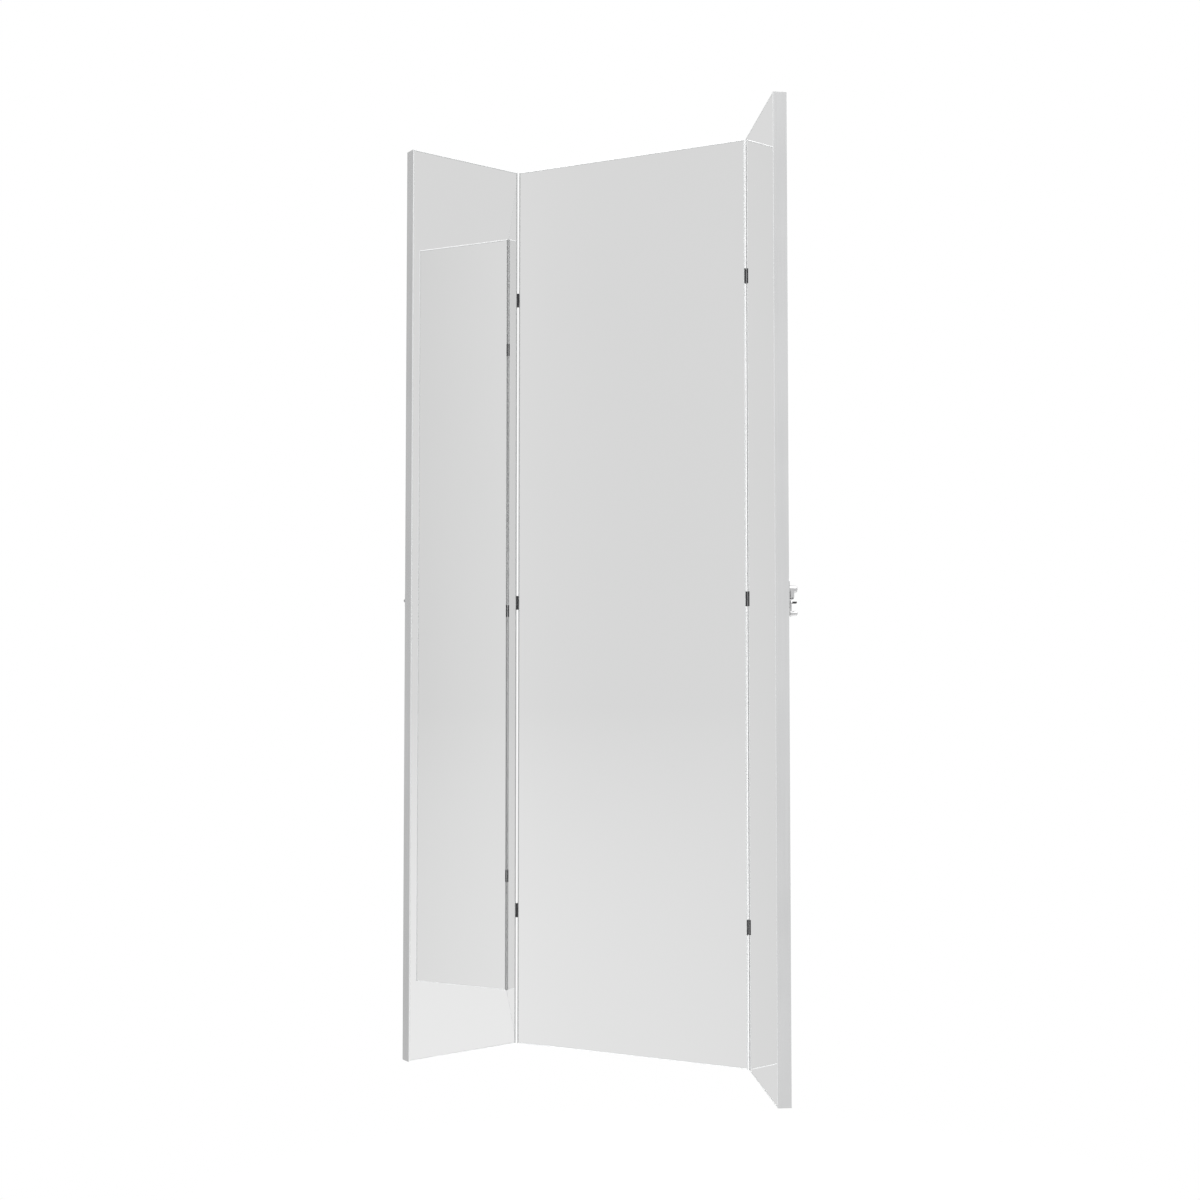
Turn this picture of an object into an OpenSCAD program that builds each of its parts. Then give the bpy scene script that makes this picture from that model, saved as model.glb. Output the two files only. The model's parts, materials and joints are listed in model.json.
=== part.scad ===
/* [Mirror panels] */
// Height of each panel
panel_h = 1200; // [1000:10:1500]
// Width of the centre panel
centre_w = 330; // [290:2:400]
// Depth of a panel, front to rear
panel_t = 16.7; // [16:0.1:20]
// Wall of the frame section
frame_wall = 1.4; // [1.2:0.1:1.7]
// Width of the frame's front ledge and rear flange
flange_w = 11; // [10:0.5:14]
// Radius on the frame's front edge
rim_r = 0.4; // [0.3:0.1:0.6]
// Thickness of the mirror glass
glass_t = 3; // [3:0.5:4]
// Bevel on the edge of the glass
glass_bevel = 0.2; // [0.1:0.1:0.8]
// How far the glass lies below the frame's front edge
glass_recess = 0.3; // [0.1:0.1:0.5]
// Thickness of the back panel
back_t = 2; // [1.5:0.1:2.5]
// Gap between the free edges of the closed wings
meeting_gap = 1; // [0.6:0.1:2]
// Arm of the corner keys inside the frame
key_arm = 38; // [30:1:50]

/* [Pose] */
// Fold of the left wing, forward of flat
left_fold = 60; // [0:1:180]
// Fold of the right wing, forward of flat
right_fold = 60; // [0:1:180]

/* [Wing hinges] */
// Radius of the hinge barrel
barrel_r = 1; // [0.9:0.05:1.1]
// Radius of the hinge pin
hinge_pin_r = 0.55; // [0.5:0.05:0.6]
// Height of a hinge
hinge_h = 19; // [18:0.5:24]
// Depth of a hinge leaf
leaf_d = 10; // [9:0.5:10.5]
// Thickness of a hinge leaf
leaf_t = 0.8; // [0.7:0.05:0.9]
// Distance of the hinge axis in front of the panel faces
hinge_front = 1.3; // [1.25:0.05:1.6]
// Depth that a leaf is let into the stile
leaf_let = 0.6; // [0.5:0.05:0.7]
// Gap between the centre panel and a wing when flat
wing_gap = 1; // [0.9:0.1:1.6]
// Distance of the end hinges from the top and bottom
hinge_inset = 180; // [120:10:240]
// Shank radius of the hinge screws
hinge_screw_r = 1.2; // [1:0.05:1.3]
// Length of the hinge screws
hinge_screw_l = 9; // [7:0.5:11]

/* [Latch] */
// Distance of the latch pivot from the right wing's free edge
latch_edge = 5.8; // [5.5:0.1:7]
// Height of the latch pivot above the middle of the panel
latch_rise = 4.6; // [3:0.1:9]
// Distance of the keeper stud from the left wing's free edge
keeper_edge = 5; // [4.5:0.1:6.5]
// Height of the latch pivot above the keeper stud
keeper_drop = 4.6; // [3:0.1:5.5]
// Thickness of the latch plate
latch_plate_t = 1; // [0.8:0.1:1.2]
// Height of the latch plate
latch_plate_h = 35.5; // [34:0.5:40]
// Thickness of the lever
lever_t = 1.6; // [1.4:0.1:2]
// Length of the lever from its pivot to the thumb peg
lever_l = 28.5; // [26:0.5:34]
// Height of the lever's pivot block off the plate
hub_t = 4.2; // [3.5:0.1:5]
// Height of the whole latch off the panel
latch_reach = 11; // [10:0.1:13]
// Turn of the lever between hanging and latched
latch_turn = 60; // [50:1:65]
// Radius of the keeper stud
stud_r = 1.5; // [1.3:0.1:1.8]

/* [Swivel] */
// Distance of the swivel axis behind the centre panel
swivel_back = 24; // [22:0.5:34]
// Radius of the swivel pin
swivel_pin_r = 3.5; // [3:0.1:3.8]
// Inside height between the bracket's ears
fork_h = 68; // [60:1:90]
// Width of the bracket's base plate
bracket_w = 60; // [54:1:80]
// Height of the bracket's base plate
bracket_h = 120; // [110:1:150]
// Thickness of the bracket's sheet
bracket_t = 2.5; // [2:0.1:3]
// Thickness of the slide arm's sheet
arm_t = 3; // [2.5:0.1:3.5]

/* [Slide] */
// Length of the cabinet rail
rail_l = 450; // [430:10:600]
// Height of the cabinet rail
rail_h = 45.7; // [45:0.1:50]
// Depth of the slide
rail_d = 12.7; // [12.7:0.1:14]
// Sheet thickness of the rails
sheet = 1.2; // [1:0.05:1.3]
// Radius of the balls
ball_r = 2.38; // [2.2:0.02:2.4]
// Travel of each of the two stages
travel = 225; // [180:5:240]
// Length of a ball cage
cage_l = 108; // [80:2:112]
// Balls in each row
balls_per_row = 6; // [4:1:7]
// Pitch of the cabinet screw holes
screw_pitch = 128; // [128:32:160]
// Radius of the cabinet screw holes
cabinet_hole_r = 2.5; // [2:0.1:3]
// Thickness of the rubber bumper
bumper_t = 10; // [6:1:14]

/* [Hidden] */

// Round edges
$fn = 64;
// Overshoot of a cut past the face it leaves
cut = 1;

// Clearances: press fit, running fit, easy fit, open play and the joint round the glass
press = 0.01;
slip = 0.05;
easy = 0.2;
play = 0.3;
glass_gap = 0.1;

// Panels
half_h = panel_h / 2;
wing_w = (centre_w - meeting_gap) / 2;
seat_y = glass_recess + glass_t;
back_y = panel_t - frame_wall - back_t;
rib_w = 3;
rib_t = 1;
cavity_front = seat_y + frame_wall;
cavity_rear = back_y - easy / 2 - rib_t;

// Place of the centre panel in the part's frame: the swivel axis is in line
// with the middle of the slide, just ahead of the rail's front end
rail_front = -rail_l / 2;
pin_gap = 15;
pin_x = rail_d / 2;
pin_y = rail_front - pin_gap;
centre_rear_y = pin_y - swivel_back;
centre_front_y = centre_rear_y - panel_t;
left_x = pin_x - centre_w / 2;
right_x = pin_x + centre_w / 2;
hinge_y = centre_front_y - hinge_front;
bracket_y = centre_rear_y - frame_wall;

// Hinges
hinge_zs = [-half_h + hinge_inset, 0, half_h - hinge_inset];
knuckles = 3;
knuckle_gap = 0.2;
knuckle_h = (hinge_h - (knuckles - 1) * knuckle_gap) / knuckles;
leaf_clear = 0.35;
leaf_proud = leaf_t - leaf_let;
leaf_start = sqrt(pow(barrel_r + leaf_clear, 2) - pow(wing_gap / 2 - leaf_proud, 2)) - hinge_front;
screw_zs = [-hinge_h / 4, hinge_h / 4];
screw_y = leaf_d - 3;
hinge_head_r = 2.1;
block_t = 6;
block_h = 24;

// Latch
latch_z = latch_rise;
stud_z = latch_rise - keeper_drop;
reach_x = latch_edge + meeting_gap + keeper_edge;
hook_r = sqrt(pow(reach_x, 2) + pow(keeper_drop, 2));
hook_dip = atan2(keeper_drop, reach_x);
washer_t = 1.2;
lever_z = latch_plate_t + washer_t + slip;
post_r = 1.8;
knob_r = 4.2;
hub_r = 4.6;
washer_r = 4.2;
hub_drop = 7.2;
arm_half = 3;
knob_edge = 2.4;
peg_edge = 1.2;
peg_tail_r = 1.2;
latch_plate_drop = -4.1;
small_screw_r = 1.2;
small_head_r = 2;
small_screw_l = 6;
head_h = 0.8;
keeper_screw_end = 3.2;
latch_screw_end = 3.6;
peg_r = 2.8;
peg_boss_r = 3.6;
stud_gap = 0.35;
slot_r = stud_r + stud_gap;
stud_a = 180 + hook_dip + latch_turn;
claw_wall = 2.4;
claw_lead = 11;
claw_root = 274;
lip_drop = 1.5;
lip_h = latch_reach - lip_drop - lever_z;
keeper_plate_t = 0.8;
keeper_plate_h = 24;
stud_head_r = 2.6;
stud_head_t = 1.8;
stud_edge = 0.8;
stud_reach = lever_z + hub_t + play + stud_head_t;

// Swivel
ear_r = 11;
ear_top = fork_h / 2 + bracket_t;
pin_tail = 7;
pin_head_r = 6.5;
pin_head_t = 4;
pin_head_edge = 1.6;
swivel_nut_t = 5.4;
socket_r = 1.7;
socket_d = 1.6;
bush_wall = 1;
bush_l = 14;
bush_flange_t = 1.1;
tube_r = rail_d / 2 - slip;
tube_h = fork_h - 2 * (bush_flange_t + easy);
gusset_h = 30;
gusset_gap = 4;
bolt_r = 2.5;
bolt_head_r = 4.4;
bolt_head_h = 2.6;
bolt_head_edge = 1;
bolt_inset = 9;
bolt_tail = 1;
bolt_x = bracket_w / 2 - bolt_inset;
bolt_z = bracket_h / 2 - bolt_inset;
cross_bar_h = 30;
cross_bar_t = 1.5;
cross_bar_d = 7;
nut_t = 4;
nut_r = 4.4;

// Slide section: u is the distance from the cabinet wall, v is the height
ball_gap = 0.12;
race_r = ball_r + ball_gap;
race_lip = 1;
inner_lip = 1.8;
outer_wrap = 12;
middle_wrap = 52;
inner_wrap = 35;
outer_ball_v = rail_h / 2 - sheet - race_r;
outer_ball_u = rail_d - sheet - race_r;
middle_top_v = outer_ball_v - race_r;
inner_ball_v = middle_top_v - sheet - race_r;
inner_ball_u = outer_ball_u - race_lip;
inner_top_v = inner_ball_v - race_r;
middle_web_u = 3.6;
inner_web_u = rail_d - sheet - play;
cage_gap = 0.15;
outer_cage_t = 0.7;
outer_cage_u = middle_web_u - cage_gap - outer_cage_t;
inner_cage_t = 0.5;
inner_cage_u = middle_web_u + sheet + cage_gap;
cage_flange_t = 0.8;
member_l = rail_l - bumper_t - play;
cage_start = (member_l - cage_l) / 2;
ball_inset = 6;
ball_pitch = (cage_l - 2 * ball_inset) / (balls_per_row - 1);
bumper_h = 16;
bumper_gap = 1;
bumper_d = rail_d - 2 * sheet - bumper_gap;
stop_v = 7;
stop_w = 3;
stop_reach = 1.4;
stop_front = cage_start - travel / 2 - play - sheet;
stop_rear = cage_start + cage_l + travel / 2 + play;
hole_ys = [-1.5 * screw_pitch, -0.5 * screw_pitch, 0.5 * screw_pitch, 1.5 * screw_pitch];
access_r = 5;
arm_l = 118;
arm_h = 10;
rivet_r = 2.4;
rivet_flat_r = 3.4;
rivet_flat_t = 0.8;
rivet_dome_r = 4;
rivet_dome_t = 1.3;
rivet_ys = [14, 62, 106];

// Frame section: outer face on x = 0, front edge on y = 0
module frame_section() {
    for (x = [rim_r, frame_wall - rim_r]) translate([x, rim_r]) circle(rim_r);
    translate([rim_r, 0]) square([frame_wall - 2 * rim_r, rim_r]);
    translate([0, rim_r]) square([frame_wall, panel_t - rim_r]);
    for (y = [seat_y, panel_t - frame_wall]) translate([0, y]) square([flange_w, frame_wall]);
    translate([0, cavity_rear]) square([frame_wall + rib_w, rib_t]);
}

// Straight frame member of length l along z, with both ends mitred
module frame_bar(l) {
    intersection() {
        linear_extrude(l) frame_section();
        translate([0, panel_t + cut, 0]) rotate([90, 0, 0]) linear_extrude(panel_t + 2 * cut)
            polygon([[0, 0], [flange_w + cut, flange_w + cut],
                     [flange_w + cut, l - flange_w - cut], [0, l]]);
    }
}

// The four members of a frame of width w, whose lower front corner is at the origin
module bar_left(w) {
    frame_bar(panel_h);
}

module bar_right(w) {
    translate([w, 0, panel_h]) rotate([0, 180, 0]) frame_bar(panel_h);
}

module bar_top(w) {
    translate([0, 0, panel_h]) rotate([0, 90, 0]) frame_bar(w);
}

module bar_bottom(w) {
    translate([w, 0, 0]) rotate([0, -90, 0]) frame_bar(w);
}

// One corner key with its outer corner at the origin
module corner_key() {
    d = cavity_rear - cavity_front - 2 * slip;
    reach = flange_w - frame_wall - slip;
    difference() {
        cube([key_arm, d, key_arm]);
        translate([reach, -cut, reach]) cube([key_arm, d + 2 * cut, key_arm]);
    }
}

module corner_keys(w) {
    e = frame_wall + slip;
    y = cavity_front + slip;
    for (x = [0, 1], z = [0, 1])
        translate([x == 0 ? e : w - e, y, z == 0 ? e : panel_h - e])
            mirror([x, 0, 0]) mirror([0, 0, z]) corner_key();
}

// Plate from the origin to [w, t, h] with a bevel c round its front edge
module bevelled_plate(w, t, h, c) {
    intersection() {
        linear_extrude(h) polygon([[0, c], [c, 0], [w - c, 0], [w, c], [w, t], [0, t]]);
        translate([w, 0, 0]) rotate([0, -90, 0]) linear_extrude(w)
            polygon([[0, c], [c, 0], [h - c, 0], [h, c], [h, t], [0, t]]);
    }
}

module glass(w) {
    e = frame_wall + glass_gap;
    translate([e, glass_recess, e]) bevelled_plate(w - 2 * e, glass_t, panel_h - 2 * e, glass_bevel);
}

module back_panel(w) {
    e = frame_wall + easy;
    translate([e, back_y, e]) cube([w - 2 * e, back_t, panel_h - 2 * e]);
}

// Places of the three panels: local x runs along the panel from its left end
module at_centre() {
    translate([left_x, centre_front_y, -half_h]) children();
}

module at_left_wing() {
    translate([left_x - wing_gap / 2, hinge_y, 0]) rotate([0, 0, left_fold])
        translate([-wing_gap / 2 - wing_w, hinge_front, -half_h]) children();
}

module at_right_wing() {
    translate([right_x + wing_gap / 2, hinge_y, 0]) rotate([0, 0, -right_fold])
        translate([wing_gap / 2, hinge_front, -half_h]) children();
}

// Hinge leaf for a panel whose end face is on x = 0 and that lies at x < 0.
// Knuckles with an index of the given parity belong to it
module hinge_leaf(parity) {
    difference() {
        union() {
            translate([-leaf_let, leaf_start, -hinge_h / 2])
                cube([leaf_t, leaf_d - leaf_start, hinge_h]);
            for (k = [parity : 2 : knuckles - 1])
                translate([0, 0, -hinge_h / 2 + k * (knuckle_h + knuckle_gap)]) {
                    translate([-leaf_let, -hinge_front, 0])
                        cube([leaf_t, hinge_front + leaf_start + slip, knuckle_h]);
                    translate([wing_gap / 2, -hinge_front, 0]) cylinder(r = barrel_r, h = knuckle_h);
                }
        }
        translate([wing_gap / 2, -hinge_front, -hinge_h / 2 - cut])
            cylinder(r = hinge_pin_r + (parity == 0 ? press : slip), h = hinge_h + 2 * cut);
        for (z = screw_zs) translate([-leaf_let - cut, screw_y, z]) rotate([0, 90, 0])
            cylinder(r = hinge_screw_r + slip, h = leaf_t + 2 * cut);
        for (z = screw_zs) translate([-leaf_let, screw_y, z]) rotate([0, 90, 0])
            cylinder(r1 = hinge_screw_r + slip, r2 = hinge_head_r + slip, h = leaf_t);
    }
}

module hinge_leaf_set(parity) {
    for (z = hinge_zs) translate([0, 0, z + half_h]) hinge_leaf(parity);
}

// Countersunk screw driven along -x, its head flush with the leaf
module hinge_screw() {
    translate([-leaf_let, 0, 0]) rotate([0, 90, 0]) {
        cylinder(r1 = hinge_screw_r, r2 = hinge_head_r, h = leaf_t);
        translate([0, 0, leaf_t - hinge_screw_l]) cylinder(r = hinge_screw_r, h = hinge_screw_l);
    }
}

module hinge_screw_set() {
    for (z = hinge_zs, s = screw_zs) translate([0, screw_y, half_h + z + s]) hinge_screw();
}

// Pockets for the hinge leaves and holes for their screws, in a stile whose end face is on x = 0
module hinge_seats() {
    for (z = hinge_zs) translate([-leaf_let, -cut, half_h + z - hinge_h / 2 - slip])
        cube([leaf_let + cut, cut + leaf_d + slip, hinge_h + 2 * slip]);
    for (z = hinge_zs, s = screw_zs) translate([-frame_wall - cut, screw_y, half_h + z + s])
        rotate([0, 90, 0]) cylinder(r = hinge_screw_r + slip, h = frame_wall + 2 * cut);
}

module hinge_block_set() {
    d = cavity_rear - cavity_front - 2 * slip;
    difference() {
        for (z = hinge_zs)
            translate([-frame_wall - block_t, cavity_front + slip, half_h + z - block_h / 2])
                cube([block_t, d, block_h]);
        for (z = hinge_zs, s = screw_zs)
            translate([-leaf_let - hinge_screw_l - cut, screw_y, half_h + z + s])
                rotate([0, 90, 0]) cylinder(r = hinge_screw_r + slip / 2, h = hinge_screw_l + 2 * cut);
    }
}

// Turns a hinge part made for a panel at x < 0 to one at x > 0
module other_side(x) {
    translate([x, 0, 0]) mirror([1, 0, 0]) children();
}

// Wedge of a circle between two angles, its far side cut straight
module sector(r, from, to) {
    polygon([[0, 0], for (i = [0 : 4]) r * [cos(from + (to - from) * i / 4),
                                            sin(from + (to - from) * i / 4)]]);
}

// Band of a ring between two angles
module band(r_in, r_out, from, to) {
    intersection() {
        difference() {
            circle(r_out);
            circle(r_in);
        }
        sector(2 * r_out, from, to);
    }
}

// Curved part of a ball race, centred on the ball
module quarter_race(u, v, from, to) {
    translate([u, v]) band(race_r, race_r + sheet, from, to);
}

module both_edges() {
    children();
    mirror([0, 1]) children();
}

module cabinet_rail_section() {
    translate([0, -rail_h / 2]) square([sheet, rail_h]);
    both_edges() {
        translate([0, rail_h / 2 - sheet]) square([outer_ball_u, sheet]);
        quarter_race(outer_ball_u, outer_ball_v, -outer_wrap, 90);
    }
}

module middle_rail_section() {
    translate([middle_web_u, -middle_top_v]) square([sheet, 2 * middle_top_v]);
    both_edges() {
        translate([middle_web_u, middle_top_v - sheet])
            square([outer_ball_u - middle_web_u + race_lip, sheet]);
        quarter_race(outer_ball_u, outer_ball_v, -90 - middle_wrap, -90);
        quarter_race(inner_ball_u, inner_ball_v, 0, 90);
    }
}

module inner_rail_section() {
    translate([inner_web_u - sheet, -inner_top_v]) square([sheet, 2 * inner_top_v]);
    both_edges() {
        translate([inner_ball_u - inner_lip, inner_top_v - sheet])
            square([inner_web_u - inner_ball_u + inner_lip, sheet]);
        quarter_race(inner_ball_u, inner_ball_v, -90 - inner_wrap, -90);
    }
}

module cage_section(u, t, v, end_u) {
    translate([u, -v - cage_flange_t / 2]) square([t, 2 * v + cage_flange_t]);
    both_edges() translate([u, v - cage_flange_t / 2]) square([end_u - u, cage_flange_t]);
}

// Extrudes a slide section from the rail's front end, over the length l
module along_slide(l, start = 0) {
    translate([0, rail_front + start + l, 0]) rotate([90, 0, 0]) linear_extrude(l) children();
}

module access_holes(u, t) {
    for (y = hole_ys) translate([u - cut, y, 0]) rotate([0, 90, 0])
        cylinder(r = access_r, h = t + 2 * cut);
}

module ball_places(v) {
    for (i = [0 : balls_per_row - 1], s = [-1, 1])
        translate([0, rail_front + cage_start + ball_inset + i * ball_pitch, s * v]) children();
}

module cage(u, t, v, ball_u) {
    difference() {
        along_slide(cage_l, cage_start) cage_section(u, t, v, ball_u + ball_r - play);
        ball_places(v) translate([ball_u, 0, -cage_flange_t])
            cylinder(r = ball_r + slip, h = 2 * cage_flange_t);
    }
}

// Pair of stop tabs bent out of a web, between the depths from and to. They meet the end
// of a ball cage when the slide is fully out
module stop_tabs(y, from, to) {
    for (s = [-1, 1]) translate([from, rail_front + y, s * stop_v - stop_w / 2])
        cube([to - from, sheet, stop_w]);
}

// Windows that the stop tabs leave in a web that starts at the depth u
module stop_windows(y, u, l) {
    for (s = [-1, 1]) translate([u - cut, rail_front + y, s * stop_v - stop_w / 2])
        cube([sheet + 2 * cut, l, stop_w]);
}

module cabinet_rail() {
    tab_end = middle_web_u - play;
    color("silver") {
        difference() {
            along_slide(rail_l) cabinet_rail_section();
            for (y = hole_ys) translate([-cut, y, 0]) rotate([0, 90, 0])
                cylinder(r = cabinet_hole_r, h = sheet + 2 * cut);
            stop_windows(stop_front + sheet, 0, tab_end - sheet);
        }
        stop_tabs(stop_front, 0, tab_end);
    }
}

module rail_bumper() {
    color("dimgray") translate([sheet, rail_front + rail_l - bumper_t, -bumper_h / 2])
        cube([bumper_d, bumper_t, bumper_h]);
}

module outer_cage() {
    color("gainsboro") cage(outer_cage_u, outer_cage_t, outer_ball_v, outer_ball_u);
}

module outer_balls() {
    color("lightgray") ball_places(outer_ball_v) translate([outer_ball_u, 0, 0]) sphere(ball_r);
}

module middle_rail() {
    web_end = middle_web_u + sheet;
    color("silver") {
        difference() {
            along_slide(member_l) middle_rail_section();
            access_holes(middle_web_u, sheet);
            stop_windows(stop_front + sheet, middle_web_u, stop_reach);
            stop_windows(stop_rear - stop_reach, middle_web_u, stop_reach);
        }
        stop_tabs(stop_front, middle_web_u, web_end + stop_reach);
        stop_tabs(stop_rear, middle_web_u - stop_reach, web_end);
    }
}

module inner_cage() {
    color("gainsboro") cage(inner_cage_u, inner_cage_t, inner_ball_v, inner_ball_u);
}

module inner_balls() {
    color("lightgray") ball_places(inner_ball_v) translate([inner_ball_u, 0, 0]) sphere(ball_r);
}

module rivet_holes(r) {
    for (y = rivet_ys) translate([inner_web_u - sheet - cut, rail_front + y, 0]) rotate([0, 90, 0])
        cylinder(r = r, h = sheet + arm_t + 2 * cut);
}

module inner_rail() {
    web_u = inner_web_u - sheet;
    tab_end = middle_web_u + sheet + play;
    color("silver") {
        difference() {
            along_slide(member_l) inner_rail_section();
            access_holes(web_u, sheet);
            rivet_holes(rivet_r + slip);
            stop_windows(stop_rear - (web_u - tab_end), web_u, web_u - tab_end);
        }
        stop_tabs(stop_rear, tab_end, inner_web_u);
    }
}

// Arm riveted to the inner rail, with the swivel knuckle at its front end
module slide_arm() {
    color("silver") difference() {
        union() {
            translate([inner_web_u, pin_y, -arm_h]) cube([arm_t, pin_gap + arm_l, 2 * arm_h]);
            translate([pin_x, pin_y, -gusset_h / 2])
                cube([inner_web_u - pin_x + arm_t, pin_gap - gusset_gap, gusset_h]);
            translate([pin_x, pin_y, -tube_h / 2]) cylinder(r = tube_r, h = tube_h);
        }
        translate([pin_x, pin_y, -tube_h / 2 - cut])
            cylinder(r = swivel_pin_r + slip + bush_wall + press, h = tube_h + 2 * cut);
        access_holes(inner_web_u, arm_t);
        rivet_holes(rivet_r + slip);
    }
}

module arm_rivets() {
    color("gray") for (y = rivet_ys)
        translate([inner_web_u - sheet, rail_front + y, 0]) rotate([0, 90, 0]) {
            translate([0, 0, -rivet_flat_t]) cylinder(r = rivet_flat_r, h = rivet_flat_t);
            cylinder(r = rivet_r, h = sheet + arm_t);
            translate([0, 0, sheet + arm_t])
                cylinder(r1 = rivet_dome_r, r2 = rivet_r, h = rivet_dome_t);
        }
}

module swivel_bushes() {
    color("white") for (s = [0, 1]) translate([pin_x, pin_y, 0]) mirror([0, 0, s]) difference() {
        union() {
            translate([0, 0, tube_h / 2 - bush_l])
                cylinder(r = swivel_pin_r + slip + bush_wall, h = bush_l);
            translate([0, 0, tube_h / 2]) cylinder(r = tube_r - easy / 2, h = bush_flange_t);
        }
        translate([0, 0, tube_h / 2 - bush_l - cut])
            cylinder(r = swivel_pin_r + slip, h = bush_l + bush_flange_t + 2 * cut);
    }
}

// Bracket bolted to the centre panel: base plate and two ears round the knuckle
module swivel_bracket() {
    color("silver") difference() {
        union() {
            translate([pin_x - bracket_w / 2, bracket_y, -bracket_h / 2])
                cube([bracket_w, bracket_t, bracket_h]);
            for (s = [0, 1]) mirror([0, 0, s]) {
                translate([pin_x - ear_r, bracket_y, fork_h / 2])
                    cube([2 * ear_r, pin_y - bracket_y, bracket_t]);
                translate([pin_x, pin_y, fork_h / 2]) cylinder(r = ear_r, h = bracket_t);
            }
        }
        translate([pin_x, pin_y, -ear_top - cut])
            cylinder(r = swivel_pin_r + slip, h = 2 * ear_top + 2 * cut);
        at_bolts() bolt_hole(bracket_t);
    }
}

// Places of the bracket's bolts, on the rear face of the back panel
module at_bolts() {
    for (x = [-bolt_x, bolt_x], z = [-bolt_z, bolt_z])
        translate([pin_x + x, bracket_y, z]) children();
}

// Clearance hole that starts at y = 0 and runs back over the thickness t
module bolt_hole(t) {
    translate([0, -cut, 0]) rotate([-90, 0, 0]) cylinder(r = bolt_r + easy, h = t + 2 * cut);
}

module swivel_pin() {
    color("lightgray") translate([pin_x, pin_y, 0]) {
        translate([0, 0, -ear_top - pin_tail]) cylinder(r = swivel_pin_r, h = 2 * ear_top + pin_tail);
        translate([0, 0, ear_top]) rotate_extrude()
            polygon([[0, 0], [pin_head_r, 0], [pin_head_r, pin_head_t - pin_head_edge],
                     [pin_head_r - pin_head_edge, pin_head_t], [0, pin_head_t]]);
    }
}

module swivel_nut() {
    color("lightgray") translate([pin_x, pin_y, -ear_top - swivel_nut_t]) difference() {
        cylinder(r = 2 * swivel_pin_r, h = swivel_nut_t, $fn = 6);
        translate([0, 0, -cut]) cylinder(r = swivel_pin_r + slip, h = swivel_nut_t + 2 * cut);
    }
}

module bracket_bolts() {
    grip = bracket_t + back_t + cross_bar_t + nut_t + bolt_tail;
    color("lightgray") at_bolts() translate([0, bracket_t, 0]) rotate([90, 0, 0]) difference() {
        union() {
            cylinder(r = bolt_r, h = grip);
            translate([0, 0, -bolt_head_h])
                cylinder(r1 = bolt_head_r - bolt_head_edge, r2 = bolt_head_r, h = bolt_head_h);
        }
        translate([0, 0, -bolt_head_h - cut]) cylinder(r = socket_r, h = socket_d + cut, $fn = 6);
    }
}

module bracket_nuts() {
    color("lightgray") at_bolts() translate([0, -back_t - cross_bar_t, 0]) rotate([90, 0, 0])
        difference() {
            cylinder(r = nut_r, h = nut_t, $fn = 6);
            translate([0, 0, -cut]) cylinder(r = bolt_r + slip, h = nut_t + 2 * cut);
        }
}

// Two channels across the inside of the centre panel, which take the bracket's bolts
module cross_bars() {
    e = frame_wall + rib_w + easy;
    l = centre_w - 2 * e;
    color("lightgray") difference() {
        for (z = [-bolt_z, bolt_z])
            translate([left_x + e, bracket_y - back_t - cross_bar_d, z - cross_bar_h / 2]) difference() {
                cube([l, cross_bar_d, cross_bar_h]);
                translate([-cut, -cut, cross_bar_t])
                    cube([l + 2 * cut, cross_bar_d + cut - cross_bar_t, cross_bar_h - 2 * cross_bar_t]);
            }
        at_bolts() translate([0, -back_t - cross_bar_t, 0]) bolt_hole(cross_bar_t);
    }
}

// Centre panel
module centre_left_stile() {
    color("lightgray") at_centre() difference() {
        bar_left(centre_w);
        other_side(0) hinge_seats();
    }
}

module centre_right_stile() {
    color("lightgray") at_centre() difference() {
        bar_right(centre_w);
        translate([centre_w, 0, 0]) hinge_seats();
    }
}

module centre_top_rail() {
    color("lightgray") at_centre() bar_top(centre_w);
}

module centre_bottom_rail() {
    color("lightgray") at_centre() bar_bottom(centre_w);
}

module centre_corner_keys() {
    color("dimgray") at_centre() corner_keys(centre_w);
}

module centre_glass() {
    color("lightsteelblue") at_centre() glass(centre_w);
}

module centre_back() {
    color("whitesmoke") difference() {
        at_centre() back_panel(centre_w);
        at_bolts() translate([0, -back_t, 0]) bolt_hole(back_t);
    }
}

module both_centre_ends() {
    at_centre() translate([centre_w, 0, 0]) children();
    at_centre() other_side(0) children();
}

module centre_hinge_leaves() {
    color("darkgray") both_centre_ends() hinge_leaf_set(0);
}

module hinge_pins() {
    color("gray") both_centre_ends() for (z = hinge_zs)
        translate([wing_gap / 2, -hinge_front, half_h + z - hinge_h / 2])
            cylinder(r = hinge_pin_r, h = hinge_h);
}

module centre_hinge_blocks() {
    color("dimgray") both_centre_ends() hinge_block_set();
}

module centre_hinge_screws() {
    color("gray") both_centre_ends() hinge_screw_set();
}

// Puts a shape drawn in x and y on a wing's rear face at (x, z), with its y upwards
// and its x towards the wing's left as seen from the front, and its z rearwards
module on_rear(x, z) {
    translate([x, panel_t, half_h + z]) rotate([90, 0, 180]) children();
}

// Countersunk screw of the latch and keeper, its head flush at the height t
module small_screw(t) {
    translate([0, 0, t - head_h]) cylinder(r1 = small_screw_r, r2 = small_head_r, h = head_h);
    translate([0, 0, t - small_screw_l]) cylinder(r = small_screw_r, h = small_screw_l);
}

module small_screw_hole(t) {
    translate([0, 0, t - head_h])
        cylinder(r1 = small_screw_r + slip, r2 = small_head_r + slip, h = head_h);
    translate([0, 0, t - small_screw_l - cut])
        cylinder(r = small_screw_r + slip, h = small_screw_l + 2 * cut);
}

// Plate with round ends, w wide and h high, drawn in x and y
module round_end_plate(w, h) {
    translate([-w / 2, -(h - w) / 2]) square([w, h - w]);
    for (s = [-1, 1]) translate([0, s * (h - w) / 2]) circle(w / 2);
}

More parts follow.
